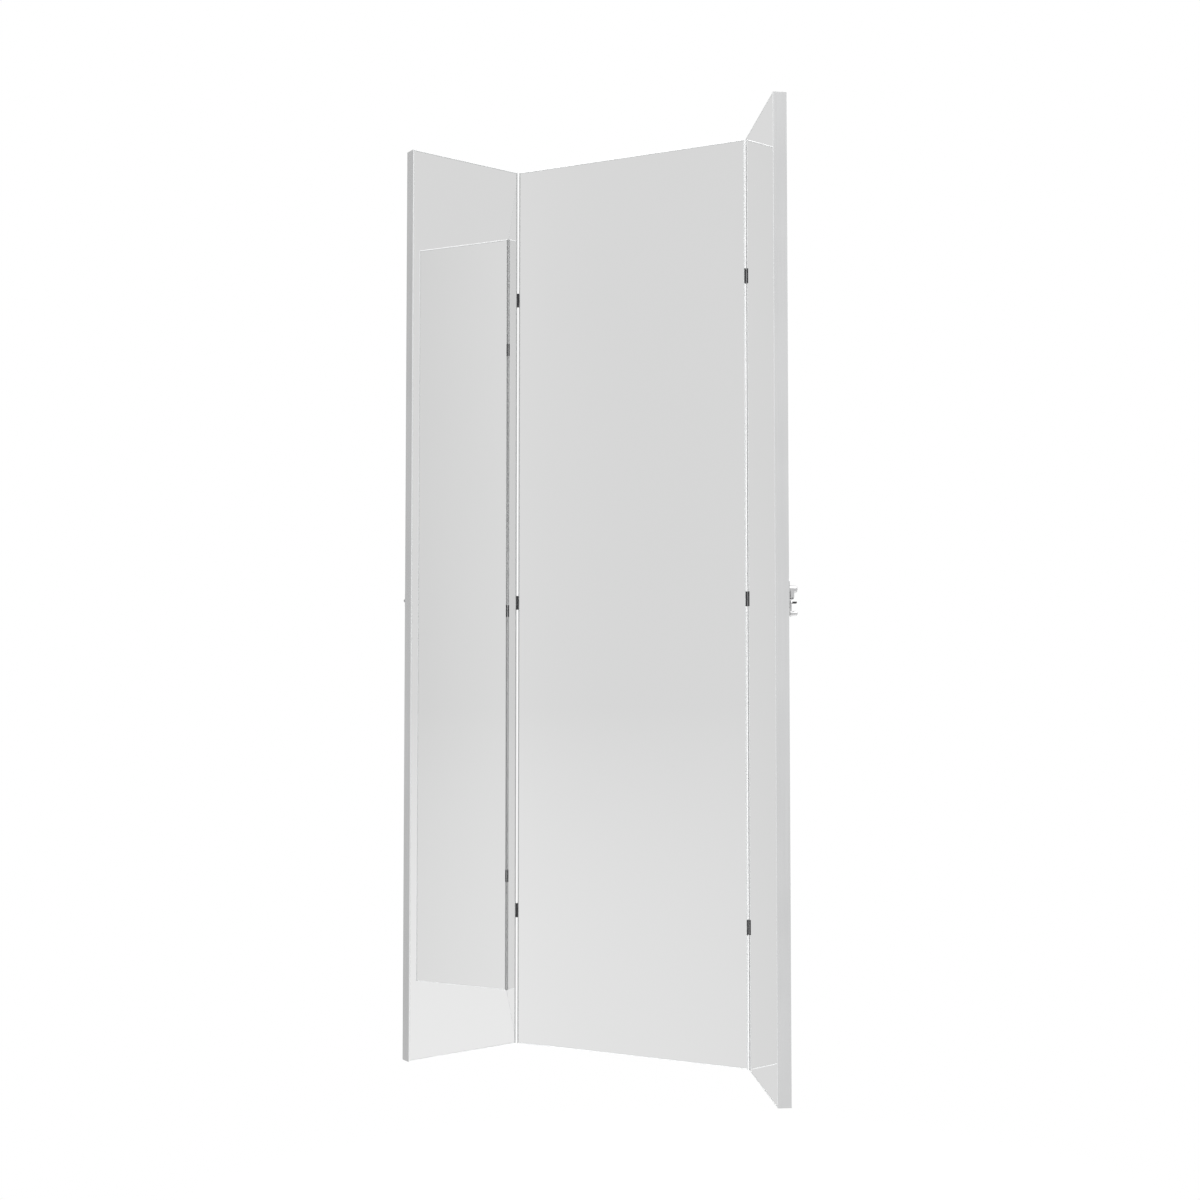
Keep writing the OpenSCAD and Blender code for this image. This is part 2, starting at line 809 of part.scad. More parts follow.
// Half profile of a knob between two heights, with its top edge rounded
module knob_profile(r, from, to, edge) {
    translate([0, from]) square([r, to - edge - from]);
    translate([0, to - edge]) square([r - edge, edge]);
    intersection() {
        translate([r - edge, to - edge]) circle(edge);
        translate([0, to - edge]) square(r);
    }
}

module at_keeper_screws() {
    for (s = [-1, 1]) translate([0, s * (keeper_plate_h / 2 - keeper_screw_end), 0]) children();
}

module at_latch_screws() {
    for (s = [-1, 1])
        translate([0, latch_plate_drop + s * (latch_plate_h / 2 - latch_screw_end), 0]) children();
}

// Left wing
module left_hinge_stile() {
    color("lightgray") at_left_wing() difference() {
        bar_right(wing_w);
        translate([wing_w, 0, 0]) hinge_seats();
    }
}

module left_free_stile() {
    color("lightgray") at_left_wing() difference() {
        bar_left(wing_w);
        on_rear(keeper_edge, stud_z) at_keeper_screws() small_screw_hole(keeper_plate_t);
    }
}

module left_top_rail() {
    color("lightgray") at_left_wing() bar_top(wing_w);
}

module left_bottom_rail() {
    color("lightgray") at_left_wing() bar_bottom(wing_w);
}

module left_corner_keys() {
    color("dimgray") at_left_wing() corner_keys(wing_w);
}

module left_glass() {
    color("lightsteelblue") at_left_wing() glass(wing_w);
}

module left_back() {
    color("whitesmoke") at_left_wing() difference() {
        back_panel(wing_w);
        on_rear(keeper_edge, stud_z) at_keeper_screws() small_screw_hole(keeper_plate_t);
    }
}

module left_hinge_leaves() {
    color("darkgray") at_left_wing() translate([wing_w, 0, 0]) hinge_leaf_set(1);
}

module left_hinge_blocks() {
    color("dimgray") at_left_wing() translate([wing_w, 0, 0]) hinge_block_set();
}

module left_hinge_screws() {
    color("gray") at_left_wing() translate([wing_w, 0, 0]) hinge_screw_set();
}

module keeper_plate() {
    color("silver") at_left_wing() on_rear(keeper_edge, stud_z) difference() {
        linear_extrude(keeper_plate_t) difference() {
            round_end_plate(2 * (keeper_edge - play), keeper_plate_h);
            circle(stud_r + press);
        }
        at_keeper_screws() small_screw_hole(keeper_plate_t);
    }
}

module keeper_stud() {
    color("silver") at_left_wing() on_rear(keeper_edge, stud_z) rotate_extrude() {
        square([stud_r, stud_reach - stud_head_t]);
        knob_profile(stud_head_r, stud_reach - stud_head_t, stud_reach, stud_edge);
    }
}

module keeper_screws() {
    color("gray") at_left_wing() on_rear(keeper_edge, stud_z) at_keeper_screws()
        small_screw(keeper_plate_t);
}

// Right wing
module right_hinge_stile() {
    color("lightgray") at_right_wing() difference() {
        bar_left(wing_w);
        other_side(0) hinge_seats();
    }
}

module right_free_stile() {
    color("lightgray") at_right_wing() difference() {
        bar_right(wing_w);
        on_rear(wing_w - latch_edge, latch_z) at_latch_screws() small_screw_hole(latch_plate_t);
    }
}

module right_top_rail() {
    color("lightgray") at_right_wing() bar_top(wing_w);
}

module right_bottom_rail() {
    color("lightgray") at_right_wing() bar_bottom(wing_w);
}

module right_corner_keys() {
    color("dimgray") at_right_wing() corner_keys(wing_w);
}

module right_glass() {
    color("lightsteelblue") at_right_wing() glass(wing_w);
}

module right_back() {
    color("whitesmoke") at_right_wing() difference() {
        back_panel(wing_w);
        on_rear(wing_w - latch_edge, latch_z) at_latch_screws() small_screw_hole(latch_plate_t);
    }
}

module right_hinge_leaves() {
    color("darkgray") at_right_wing() other_side(0) hinge_leaf_set(1);
}

module right_hinge_blocks() {
    color("dimgray") at_right_wing() other_side(0) hinge_block_set();
}

module right_hinge_screws() {
    color("gray") at_right_wing() other_side(0) hinge_screw_set();
}

// Latch, drawn in x and y as seen from behind the right wing, its pivot at the origin
module at_latch() {
    at_right_wing() on_rear(wing_w - latch_edge, latch_z) children();
}

module latch_plate() {
    color("silver") at_latch() difference() {
        linear_extrude(latch_plate_t) difference() {
            translate([0, latch_plate_drop]) round_end_plate(2 * (latch_edge - play), latch_plate_h);
            circle(post_r + press);
        }
        at_latch_screws() small_screw_hole(latch_plate_t);
    }
}

module latch_screws() {
    color("gray") at_latch() at_latch_screws() small_screw(latch_plate_t);
}

module latch_washer() {
    color("gold") at_latch() translate([0, 0, latch_plate_t]) linear_extrude(washer_t) difference() {
        circle(washer_r);
        circle(post_r + slip);
    }
}

// Pivot post with its domed knob
module latch_post() {
    color("silver") at_latch() rotate_extrude() {
        square([post_r, latch_reach - knob_edge]);
        knob_profile(knob_r, lever_z + hub_t + slip, latch_reach, knob_edge);
    }
}

// Lever outline: hub, arm, boss of the peg and the band of the claw
module lever_outline() {
    circle(hub_r);
    polygon([[-arm_half, 0], [arm_half, 0], [peg_r, -lever_l], [-peg_r, -lever_l]]);
    translate([0, -lever_l]) circle(peg_boss_r);
    band(hook_r - slot_r - claw_wall, hook_r + slot_r + claw_wall, stud_a - claw_lead, claw_root);
}

// Slot of the claw, an arc about the pivot that ends where the stud rests
module claw_slot() {
    rotate(stud_a) translate([hook_r, 0]) circle(slot_r);
    band(hook_r - slot_r, hook_r + slot_r, stud_a - 2 * claw_lead, stud_a);
}

// Lip bent up along the claw's outer side, clear of the stud's head
module claw_lip() {
    band(hook_r + stud_head_r + play, hook_r + slot_r + claw_wall, stud_a - claw_lead, claw_root);
}

module latch_lever() {
    color("silver") at_latch() translate([0, 0, lever_z]) difference() {
        union() {
            linear_extrude(lever_t) lever_outline();
            linear_extrude(hub_t) {
                circle(hub_r);
                translate([0, -hub_drop]) circle(hub_r);
                translate([-hub_r, -hub_drop]) square([2 * hub_r, hub_drop]);
            }
            linear_extrude(lip_h) claw_lip();
        }
        translate([0, 0, -cut]) linear_extrude(hub_t + 2 * cut) claw_slot();
        translate([0, 0, -cut]) cylinder(r = post_r + slip, h = hub_t + 2 * cut);
        translate([0, -lever_l, -cut]) cylinder(r = peg_tail_r + press, h = lever_t + 2 * cut);
    }
}

module latch_peg() {
    color("silver") at_latch() translate([0, -lever_l, 0]) rotate_extrude() {
        translate([0, lever_z]) square([peg_tail_r, latch_reach - peg_edge - lever_z]);
        knob_profile(peg_r, lever_z + lever_t, latch_reach, peg_edge);
    }
}

cabinet_rail();
rail_bumper();
outer_cage();
outer_balls();
middle_rail();
inner_cage();
inner_balls();
inner_rail();
slide_arm();
arm_rivets();
swivel_bushes();
swivel_bracket();
swivel_pin();
swivel_nut();
bracket_bolts();
bracket_nuts();
cross_bars();
centre_left_stile();
centre_right_stile();
centre_top_rail();
centre_bottom_rail();
centre_corner_keys();
centre_glass();
centre_back();
centre_hinge_leaves();
hinge_pins();
centre_hinge_blocks();
centre_hinge_screws();
left_hinge_stile();
left_free_stile();
left_top_rail();
left_bottom_rail();
left_corner_keys();
left_glass();
left_back();
left_hinge_leaves();
left_hinge_blocks();
left_hinge_screws();
keeper_plate();
keeper_stud();
keeper_screws();
right_hinge_stile();
right_free_stile();
right_top_rail();
right_bottom_rail();
right_corner_keys();
right_glass();
right_back();
right_hinge_leaves();
right_hinge_blocks();
right_hinge_screws();
latch_plate();
latch_post();
latch_washer();
latch_screws();
latch_lever();
latch_peg();
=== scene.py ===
"""Pull-out closet mirror: finishes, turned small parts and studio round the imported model."""
import json
import math

import bpy
import numpy as np
from mathutils import Matrix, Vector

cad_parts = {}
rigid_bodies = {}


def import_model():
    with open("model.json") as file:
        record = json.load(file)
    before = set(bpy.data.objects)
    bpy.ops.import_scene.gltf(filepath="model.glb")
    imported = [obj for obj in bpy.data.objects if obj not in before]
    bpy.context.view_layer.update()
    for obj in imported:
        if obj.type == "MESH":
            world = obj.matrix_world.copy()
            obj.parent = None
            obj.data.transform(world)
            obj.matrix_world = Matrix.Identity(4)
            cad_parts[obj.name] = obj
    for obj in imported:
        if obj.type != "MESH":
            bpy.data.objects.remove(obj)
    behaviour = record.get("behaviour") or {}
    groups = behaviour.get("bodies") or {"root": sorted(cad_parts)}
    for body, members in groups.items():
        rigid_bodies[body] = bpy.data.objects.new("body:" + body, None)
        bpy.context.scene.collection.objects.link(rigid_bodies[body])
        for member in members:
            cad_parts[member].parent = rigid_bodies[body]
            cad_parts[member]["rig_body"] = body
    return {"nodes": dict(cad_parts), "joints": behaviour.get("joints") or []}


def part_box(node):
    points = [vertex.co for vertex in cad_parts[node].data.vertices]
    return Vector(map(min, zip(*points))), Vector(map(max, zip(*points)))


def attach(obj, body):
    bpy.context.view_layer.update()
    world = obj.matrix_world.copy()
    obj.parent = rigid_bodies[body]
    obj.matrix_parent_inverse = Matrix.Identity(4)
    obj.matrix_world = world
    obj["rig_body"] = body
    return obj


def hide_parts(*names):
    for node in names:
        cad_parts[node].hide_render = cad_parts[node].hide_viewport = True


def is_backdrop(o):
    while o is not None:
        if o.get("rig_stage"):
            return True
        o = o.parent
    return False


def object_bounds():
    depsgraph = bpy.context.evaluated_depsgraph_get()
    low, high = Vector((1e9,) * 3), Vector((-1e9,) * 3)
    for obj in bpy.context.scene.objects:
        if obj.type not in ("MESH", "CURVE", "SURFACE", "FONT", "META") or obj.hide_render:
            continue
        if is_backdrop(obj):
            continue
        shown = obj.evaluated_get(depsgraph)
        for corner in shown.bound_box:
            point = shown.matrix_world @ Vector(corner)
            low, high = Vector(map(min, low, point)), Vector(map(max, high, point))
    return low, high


bl_info = {
    "name": "Closet mirror dresser",
    "version": (1, 0, 0),
    "blender": (4, 5, 0),
    "location": "View3D > Sidebar > Mirror",
    "description": "Finishes, screws, threads and studio for a pull-out closet mirror",
    "category": "Object",
}

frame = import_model()
NODES = frame["nodes"]
JOINTS = {joint["name"]: joint for joint in frame["joints"]}
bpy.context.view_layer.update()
MM = 0.001


# ---------------------------------------------------------------- settings

class MirrorFinish(bpy.types.PropertyGroup):
    """Colours and gloss of the mirror's pieces."""
    frame_colour: bpy.props.FloatVectorProperty(
        name="Frame", description="Colour of the anodised frame members",
        subtype="COLOR", size=3, default=(0.818, 0.822, 0.826), min=0, max=1)
    frame_gloss: bpy.props.FloatProperty(
        name="Frame roughness", description="Mean roughness of the anodised frame",
        default=0.21, min=0.05, max=1)
    silver_colour: bpy.props.FloatVectorProperty(
        name="Silvering", description="Colour that the silvered glass gives back",
        subtype="COLOR", size=3, default=(0.885, 0.886, 0.885), min=0, max=1)
    back_colour: bpy.props.FloatVectorProperty(
        name="Back panel", description="Colour of the back panels",
        subtype="COLOR", size=3, default=(0.62, 0.62, 0.61), min=0, max=1)
    zinc_colour: bpy.props.FloatVectorProperty(
        name="Zinc plating", description="Colour of the plated slide and bracket",
        subtype="COLOR", size=3, default=(0.62, 0.65, 0.69), min=0, max=1)
    hinge_colour: bpy.props.FloatVectorProperty(
        name="Hinges", description="Colour of the blackened hinge leaves",
        subtype="COLOR", size=3, default=(0.060, 0.060, 0.064), min=0, max=1)
    chrome_colour: bpy.props.FloatVectorProperty(
        name="Nickel", description="Colour of the latch",
        subtype="COLOR", size=3, default=(0.70, 0.70, 0.705), min=0, max=1)
    inner_colour: bpy.props.FloatVectorProperty(
        name="Inner plastic", description="Colour of the corner keys",
        subtype="COLOR", size=3, default=(0.035, 0.035, 0.038), min=0, max=1)
    bush_colour: bpy.props.FloatVectorProperty(
        name="Bushes", description="Colour of the nylon bushes",
        subtype="COLOR", size=3, default=(0.82, 0.81, 0.76), min=0, max=1)


class MirrorSizes(bpy.types.PropertyGroup):
    """Sizes of the pieces that are made here, as the model has them."""
    screw_shank: bpy.props.FloatProperty(
        name="Hinge screw shank", description="Shank radius of the hinge screws",
        default=1.2 * MM, unit="LENGTH", precision=5)
    screw_head: bpy.props.FloatProperty(
        name="Hinge screw head", description="Head radius of the hinge screws",
        default=2.1 * MM, unit="LENGTH", precision=5)
    screw_depth: bpy.props.FloatProperty(
        name="Hinge screw head depth", description="Depth of the countersunk head",
        default=0.9 * MM, unit="LENGTH", precision=5)
    screw_length: bpy.props.FloatProperty(
        name="Hinge screw length", description="Length of the hinge screws",
        default=9 * MM, unit="LENGTH", precision=5)
    recess_reach: bpy.props.FloatProperty(
        name="Cross recess", description="Half width of the cross recess against the head's radius",
        default=0.62, min=0.3, max=0.8)
    recess_depth: bpy.props.FloatProperty(
        name="Recess depth", description="Depth of the cross recess",
        default=0.62 * MM, unit="LENGTH", precision=5)


class MirrorFasteners(bpy.types.PropertyGroup):
    """Sizes of the swivel's fasteners and the bumper, as the model has them."""
    pin_radius: bpy.props.FloatProperty(
        name="Pin", description="Radius of the swivel pin",
        default=3.5 * MM, unit="LENGTH", precision=5)
    pin_head: bpy.props.FloatProperty(
        name="Pin head", description="Height of the swivel pin's head",
        default=4 * MM, unit="LENGTH", precision=5)
    pin_thread: bpy.props.FloatProperty(
        name="Pin thread", description="Length of the thread at the swivel pin's end",
        default=8.5 * MM, unit="LENGTH", precision=5)
    bolt_radius: bpy.props.FloatProperty(
        name="Bolt", description="Radius of the bracket bolts",
        default=2.5 * MM, unit="LENGTH", precision=5)
    bolt_head: bpy.props.FloatProperty(
        name="Bolt head", description="Radius of the bracket bolts' heads",
        default=4.4 * MM, unit="LENGTH", precision=5)
    bolt_head_height: bpy.props.FloatProperty(
        name="Bolt head height", description="Height of the bracket bolts' heads",
        default=2.6 * MM, unit="LENGTH", precision=5)
    bumper_rib: bpy.props.FloatProperty(
        name="Bumper rib", description="Depth of the grooves between the bumper's ribs",
        default=0.9 * MM, unit="LENGTH", precision=5)


class MirrorStudio(bpy.types.PropertyGroup):
    """Camera, floor and light."""
    camera_place: bpy.props.FloatVectorProperty(
        name="Camera", description="Place of the camera",
        subtype="TRANSLATION", unit="LENGTH", size=3, default=(0.79512, -2.13259, -0.08127))
    camera_turn: bpy.props.FloatProperty(
        name="Turn", description="Turn of the camera from the mirror's depth towards the left",
        subtype="ANGLE", default=math.radians(24.149))
    camera_tilt: bpy.props.FloatProperty(
        name="Tilt", description="Tilt of the camera above level",
        subtype="ANGLE", default=math.radians(2.347))
    camera_lens: bpy.props.FloatProperty(
        name="Lens", description="Focal length in millimetres on a 36 mm sensor",
        default=1511.05 / 1200 * 36, min=10, max=200)
    floor_drop: bpy.props.FloatProperty(
        name="Floor", description="Height of the floor below the mirror's lower edge",
        default=0.45, unit="LENGTH")
    floor_reach: bpy.props.FloatProperty(
        name="Floor reach", description="Radius at which the floor has faded out",
        default=1.1, unit="LENGTH")
    room_light: bpy.props.FloatProperty(
        name="Room light", description="Brightness of the room at the height of the mirror",
        default=0.765, min=0)
    top_light: bpy.props.FloatProperty(
        name="Top light", description="Brightness that the ceiling adds",
        default=1.37, min=0)
    strip_light: bpy.props.FloatProperty(
        name="Strip light", description="Brightness of the strip light high on the left",
        default=6.0, min=0)
    flag: bpy.props.FloatProperty(
        name="Flag", description="Share of the light that the black flag takes away",
        default=0.92, min=0, max=1)
    low_light: bpy.props.FloatProperty(
        name="Low light", description="Brightness that the room gains below the level of the eye",
        default=0.105, min=0)


# Soft boxes and flags that stand round the mirror: the way to each, how wide it spreads
# and how much brightness it adds or takes away
PANELS_OF_LIGHT = (
    ((0.10, -0.995), 0.012, 0.37),
    ((-0.552, -0.834), 0.004, 0.125),
    ((-0.667, -0.745), 0.004, 0.045),
    ((0.669, -0.743), 0.050, -0.005),
    ((-1.0, 0.0), 0.030, -0.23),
    ((0.27, 0.963), 0.004, 1.90),
    ((0.50, 0.866), 0.040, -0.757),
)

# The strip light, the lights below the level of the eye and the black flag, given in the same way.
# The flag stands behind the mirror and draws the dark outlines of the latch's knobs.
STRIP = ((-0.667, -0.745), 0.004)
LOW_LIGHTS = (((-0.438, -0.899), 0.022, 1.0), ((1.0, 0.0), 0.1, 1.7), ((0.669, -0.743), 0.02, -0.4))
FLAG = ((-0.30, 0.954), 0.02)

# Rise of a direction, as the height of a unit arrow, between which a light comes in or goes out.
# The low lights start below level by the one number and grow in over the other.
CEILING_RISE = (0.36, 0.85)
STRIP_RISE = (0.45, 0.60)
FLAG_TOP = (0.70, 0.90)
LOW_START = 0.03
LOW_GROWTH = 0.1

# The two stiles of each panel
PANELS = {
    "centre": ("centre_left_stile", "centre_right_stile"),
    "left": ("left_free_stile", "left_hinge_stile"),
    "right": ("right_hinge_stile", "right_free_stile"),
}

# Painted light on the narrow front rim of a frame member, against the rest of it: a painted
# highlight that makes it brighter, and painted shade on three rims beside the hinges that makes
# them darker, fitted to how dark the gaps look in the photograph.
RIM_HIGHLIGHT = 1.15
RIM_SHADE_BESIDE_HINGES = {"left_hinge_stile": 0.72, "centre_left_stile": 0.72, "right_hinge_stile": 0.62}

# In metres, where each begins and ends: the rim behind the front, the line of a mitre to either
# side, how far in from the side that line runs, the arris of the glass, the edge of the painted
# shade on the latch's claw
RIM_DEPTH = (0.00030, 0.00050)
MITRE_LINE = (0.00004, 0.00022)
MITRE_REACH = (0.0105, 0.0112)
ARRIS = (0.00019, 0.00024)
CLAW_SHADE_EDGE = 0.0001

# Colours of small pieces and worn places that have no setting
GROUND_GLASS = (0.86, 0.90, 0.88, 1)
WORN_ZINC = (0.72, 0.72, 0.71)
RUBBED_STEEL = (0.30, 0.29, 0.28)
# painted shade: the black on the lower outer part of the latch's claw
CLAW_SHADE_BLACK = (0.018, 0.018, 0.019, 1)
CAGE_ZINC = (0.70, 0.68, 0.62)
BALL_STEEL = (0.70, 0.71, 0.73)
RIVET_ZINC = (0.68, 0.68, 0.66)
BOLT_ZINC = (0.66, 0.67, 0.68)
MILL_ALUMINIUM = (0.70, 0.71, 0.72)
SCREW_BLACK = (0.10, 0.10, 0.105)
BUMPER_BLACK = (0.030, 0.030, 0.032)
FLOOR_TONES = ((0.90, 0.90, 0.90, 1), (0.925, 0.925, 0.92, 1))
LATCH_GLOSS = 0.16
BOLT_GLOSS = 0.24

# Shank radius, head radius, depth of the head and length of the latch's and keeper's screws
LATCH_SCREW = (1.2 * MM, 2.0 * MM, 0.8 * MM, 6 * MM)

# Pitch and depth of the threads, height of the nut's collar, and the turn in radians from one
# screw's recess to the next
PIN_RIDGE = (1.0 * MM, 0.35 * MM)
BOLT_RIDGE = (0.8 * MM, 0.28 * MM)
NUT_COLLAR = 1.7 * MM
SCREW_SPIN = 0.7
BUMPER_RIBS = 7


# ---------------------------------------------------------------- node arithmetic

class Wire:
    """A socket of a node tree. Arithmetic on it adds Math nodes, node() adds any other kind."""

    def __init__(self, tree, socket=None):
        self.tree = tree
        self.socket = socket

    def node(self, kind, settings=None, inputs=None, output=0):
        """Adds a node, sets it up, fills or links its inputs and returns one of its outputs."""
        made = self.tree.nodes.new(kind)
        for key, value in (settings or {}).items():
            setattr(made, key, value)
        for key, value in (inputs or {}).items():
            if isinstance(value, Wire):
                self.tree.links.new(value.socket, made.inputs[key])
            elif value is not None:
                made.inputs[key].default_value = value
        return Wire(self.tree, made.outputs[output])

    def end(self, kind, shader):
        """Ends the tree with an output node of a kind, which takes a shader."""
        last = self.tree.nodes.new("ShaderNodeOutput" + kind)
        self.tree.links.new(shader.socket, last.inputs["Surface"])

    def math(self, operation, *values):
        """One Math node."""
        return self.node("ShaderNodeMath", {"operation": operation}, dict(enumerate(values)))

    def __add__(self, other):
        return self.math("ADD", self, other)

    __radd__ = __add__

    def __mul__(self, other):
        return self.math("MULTIPLY", self, other)

    __rmul__ = __mul__

    def __sub__(self, other):
        return self.math("SUBTRACT", self, other)

    def __rsub__(self, other):
        return self.math("SUBTRACT", other, self)

    def __truediv__(self, other):
        return self.math("DIVIDE", self, other)

    def __pow__(self, other):
        return self.math("POWER", self, other)

    def absolute(self):
        """The value without its sign."""
        return self.math("ABSOLUTE", self)

    def step(self, low, high):
        """0 below low, 1 above high, and a smooth rise between them."""
        return self.node("ShaderNodeMapRange", {"interpolation_type": "SMOOTHSTEP"},
                         {"Value": self, "From Min": low, "From Max": high})


def blend_colour(wire, share, first, second):
    """Mix of two colours by a share from 0 to 1."""
    return wire.node("ShaderNodeMix", {"data_type": "RGBA"},
                     {0: share, 6: first, 7: second}, output=2)


def shade_of(colour, factor):
    """A colour made lighter or darker by a factor, as a node input."""
    return tuple(min(1.0, part * factor) for part in colour) + (1.0,)


def noise(wire, place, scale, detail=2.0, roughness=0.5):
    """Value of a noise, near 0.5."""
    return wire.node("ShaderNodeTexNoise", None,
                     {"Vector": place, "Scale": scale, "Detail": detail,
                      "Roughness": roughness})


def placed(wire, centre=(0, 0, 0), turn=0.0, stretch=(1, 1, 1)):
    """Object coordinates moved to a centre, turned about the height and stretched."""
    coords = wire.node("ShaderNodeTexCoord", None, None, output="Object")
    moved = wire.node("ShaderNodeVectorMath", {"operation": "SUBTRACT"}, {0: coords, 1: centre})
    return wire.node("ShaderNodeMapping", {"vector_type": "POINT"},
                     {"Vector": moved, "Rotation": (0, 0, -turn), "Scale": stretch})


def parts_of(wire, vector):
    """The three numbers of a vector."""
    split = wire.node("ShaderNodeSeparateXYZ", None, {0: vector})
    node = split.socket.node
    return [Wire(wire.tree, node.outputs[k]) for k in range(3)]


def new_finish(name):
    """An empty material and the wire that adds its nodes."""
    made = bpy.data.materials.new(name)
    made.use_nodes = True
    made.node_tree.nodes.clear()
    return made, Wire(made.node_tree)


def close_finish(wire, linked, fixed, height=None, lift=0.0, rounding=0.0):
    """Ends a material: a Principled shader with linked and fixed inputs, and a bump if there is
    a height."""
    inputs = dict(fixed)
    inputs.update(linked)
    normal = None
    if rounding:
        normal = wire.node("ShaderNodeBevel", {"samples": 4}, {"Radius": rounding})
    if height is not None:
        normal = wire.node("ShaderNodeBump", None,
                           {"Height": height, "Distance": lift, "Strength": 1.0,
                            "Normal": normal})
    if normal is not None:
        inputs["Normal"] = normal
    wire.end("Material", wire.node("ShaderNodeBsdfPrincipled", None, inputs, output="BSDF"))


# ---------------------------------------------------------------- finishes

def anodised(name, colour, gloss, centre, turn, along_height, half, front, rim_light_tone):
    """Satin anodised aluminium: drawing lines along the member, a faint cloud, the hairline of the
    mitres and, on the rim that lies within half a millimetre of the front, a painted highlight that
    makes it lighter, which on the rims beside the hinges is painted shade that makes them darker."""
    made, wire = new_finish(name)
    stretch = (700, 700, 6) if along_height else (6, 700, 700)
    lines = noise(wire, placed(wire, centre, turn, stretch), 1.0, 3.0, 0.6)
    cloud = noise(wire, placed(wire, centre, turn), 9.0)
    along, deep, height = parts_of(wire, placed(wire, centre, turn))
    rim = 1 - deep.step(front + RIM_DEPTH[0], front + RIM_DEPTH[1])
    from_side = half[0] - along.absolute()
    from_end = half[1] - height.absolute()
    seam = 1 - (from_side - from_end).absolute().step(*MITRE_LINE)
    seam = seam * (1 - from_side.step(*MITRE_REACH))
    tone = 0.35 * lines + 0.65 * cloud
    plain = blend_colour(wire, tone.step(0.30, 0.70),
                         shade_of(colour, 0.965), shade_of(colour, 1.03))
    # painted light: the front rim is painted lighter as a highlight, and darker as shade on the
    # rims beside the hinges
    cut = blend_colour(wire, rim, plain, shade_of(colour, rim_light_tone))
    full = blend_colour(wire, seam * 0.8, cut, shade_of(colour, 0.22))
    rough = gloss - 0.05 + 0.10 * lines + 0.02 * cloud + 0.14 * rim
    close_finish(wire, {"Base Color": full, "Roughness": rough}, {"Metallic": 1.0},
                 lines - 0.8 * seam, 0.00003, 0.00025)
    return made


def silvered(name, colour, centre, turn, half):
    """Silvered float glass: a true mirror with a breath of haze and a frosted arris round it."""
    made, wire = new_finish(name)
    along, _, height = parts_of(wire, placed(wire, centre, turn))
    from_side = half[0] - along.absolute()
    from_end = half[1] - height.absolute()
    arris = 1 - wire.math("MINIMUM", from_side, from_end).step(*ARRIS)
    haze = noise(wire, placed(wire), 5.0, 4.0, 0.6).step(0.35, 0.85)
    specks = 1 - noise(wire, placed(wire), 420.0, 1.0).step(0.16, 0.20)
    ground = noise(wire, placed(wire), 3000.0, 1.0)
    tint = blend_colour(wire, haze, shade_of(colour, 1.0), shade_of(colour, 0.994))
    silver = blend_colour(wire, specks * 0.25, tint, shade_of(colour, 0.80))
    full = blend_colour(wire, arris, silver, GROUND_GLASS)
    rough = 0.004 + 0.010 * haze + 0.10 * specks + arris * (0.45 + 0.25 * ground)
    close_finish(wire, {"Base Color": full, "Roughness": rough, "Metallic": 1 - arris}, {})
    return made


def fibre_board(name, colour):
    """Painted hardboard of the back: a fine pebbled sheet with faint fibre flecks."""
    made, wire = new_finish(name)
    pebble = noise(wire, placed(wire), 900.0)
    fleck = noise(wire, placed(wire, stretch=(1, 1, 0.25)), 160.0, 3.0, 0.6).step(0.58, 0.70)
    cloud = noise(wire, placed(wire), 6.0, 3.0)
    tone = blend_colour(wire, cloud.step(0.3, 0.7),
                        shade_of(colour, 0.95), shade_of(colour, 1.03))
    full = blend_colour(wire, fleck * 0.22, tone, shade_of(colour, 0.80))
    close_finish(wire, {"Base Color": full, "Roughness": 0.58 + 0.14 * pebble},
                 {"Metallic": 0.0, "Specular IOR Level": 0.4}, pebble + 0.4 * fleck, 0.00006)
    return made


def plated(name, colour, gloss, stretch=(1, 1, 1), mottle=0.10, rounding=0.0003):
    """Zinc plated steel: rolling lines, pale and dark blooms, duller where it was handled."""
    made, wire = new_finish(name)
    lines = noise(wire, placed(wire, stretch=tuple(420 * s for s in stretch)), 1.0, 3.0, 0.6)
    bloom = noise(wire, placed(wire), 70.0, 4.0, 0.65)
    worn = noise(wire, placed(wire), 14.0, 3.0).step(0.45, 0.75)
    tone = blend_colour(wire, bloom.step(0.32, 0.68),
                        shade_of(colour, 1 - mottle), shade_of(colour, 1 + mottle))
    full = blend_colour(wire, worn * 0.35, tone, shade_of(WORN_ZINC, 1.0))
    rough = gloss - 0.06 + 0.12 * lines + 0.10 * worn
    close_finish(wire, {"Base Color": full, "Roughness": rough}, {"Metallic": 1.0},
                 0.6 * lines + 0.4 * bloom, 0.00004, rounding)
    return made


def blackened(name, colour):
    """Blackened steel: oiled oxide that is rubbed paler in small patches."""
    made, wire = new_finish(name)
    grit = noise(wire, placed(wire), 2600.0)
    rubbed = noise(wire, placed(wire), 230.0, 4.0, 0.7).step(0.56, 0.74)
    full = blend_colour(wire, rubbed * 0.5, shade_of(colour, 1.0), shade_of(RUBBED_STEEL, 1.0))
    close_finish(wire, {"Base Color": full, "Roughness": 0.34 + 0.18 * grit},
                 {"Metallic": 0.8}, grit, 0.00002, 0.00015)
    return made


def chromed(name, colour, gloss):
    """Polished and plated metal: faint polishing swirls and a few dull finger marks."""
    made, wire = new_finish(name)
    swirl = noise(wire, placed(wire), 340.0, 4.0, 0.7)
    mark = noise(wire, placed(wire), 55.0, 3.0).step(0.50, 0.72)
    full = blend_colour(wire, mark * 0.3, shade_of(colour, 1.0), shade_of(colour, 0.86))
    close_finish(wire, {"Base Color": full, "Roughness": gloss + 0.05 * swirl + 0.10 * mark},
                 {"Metallic": 1.0}, swirl, 0.00001, 0.00015)
    return made


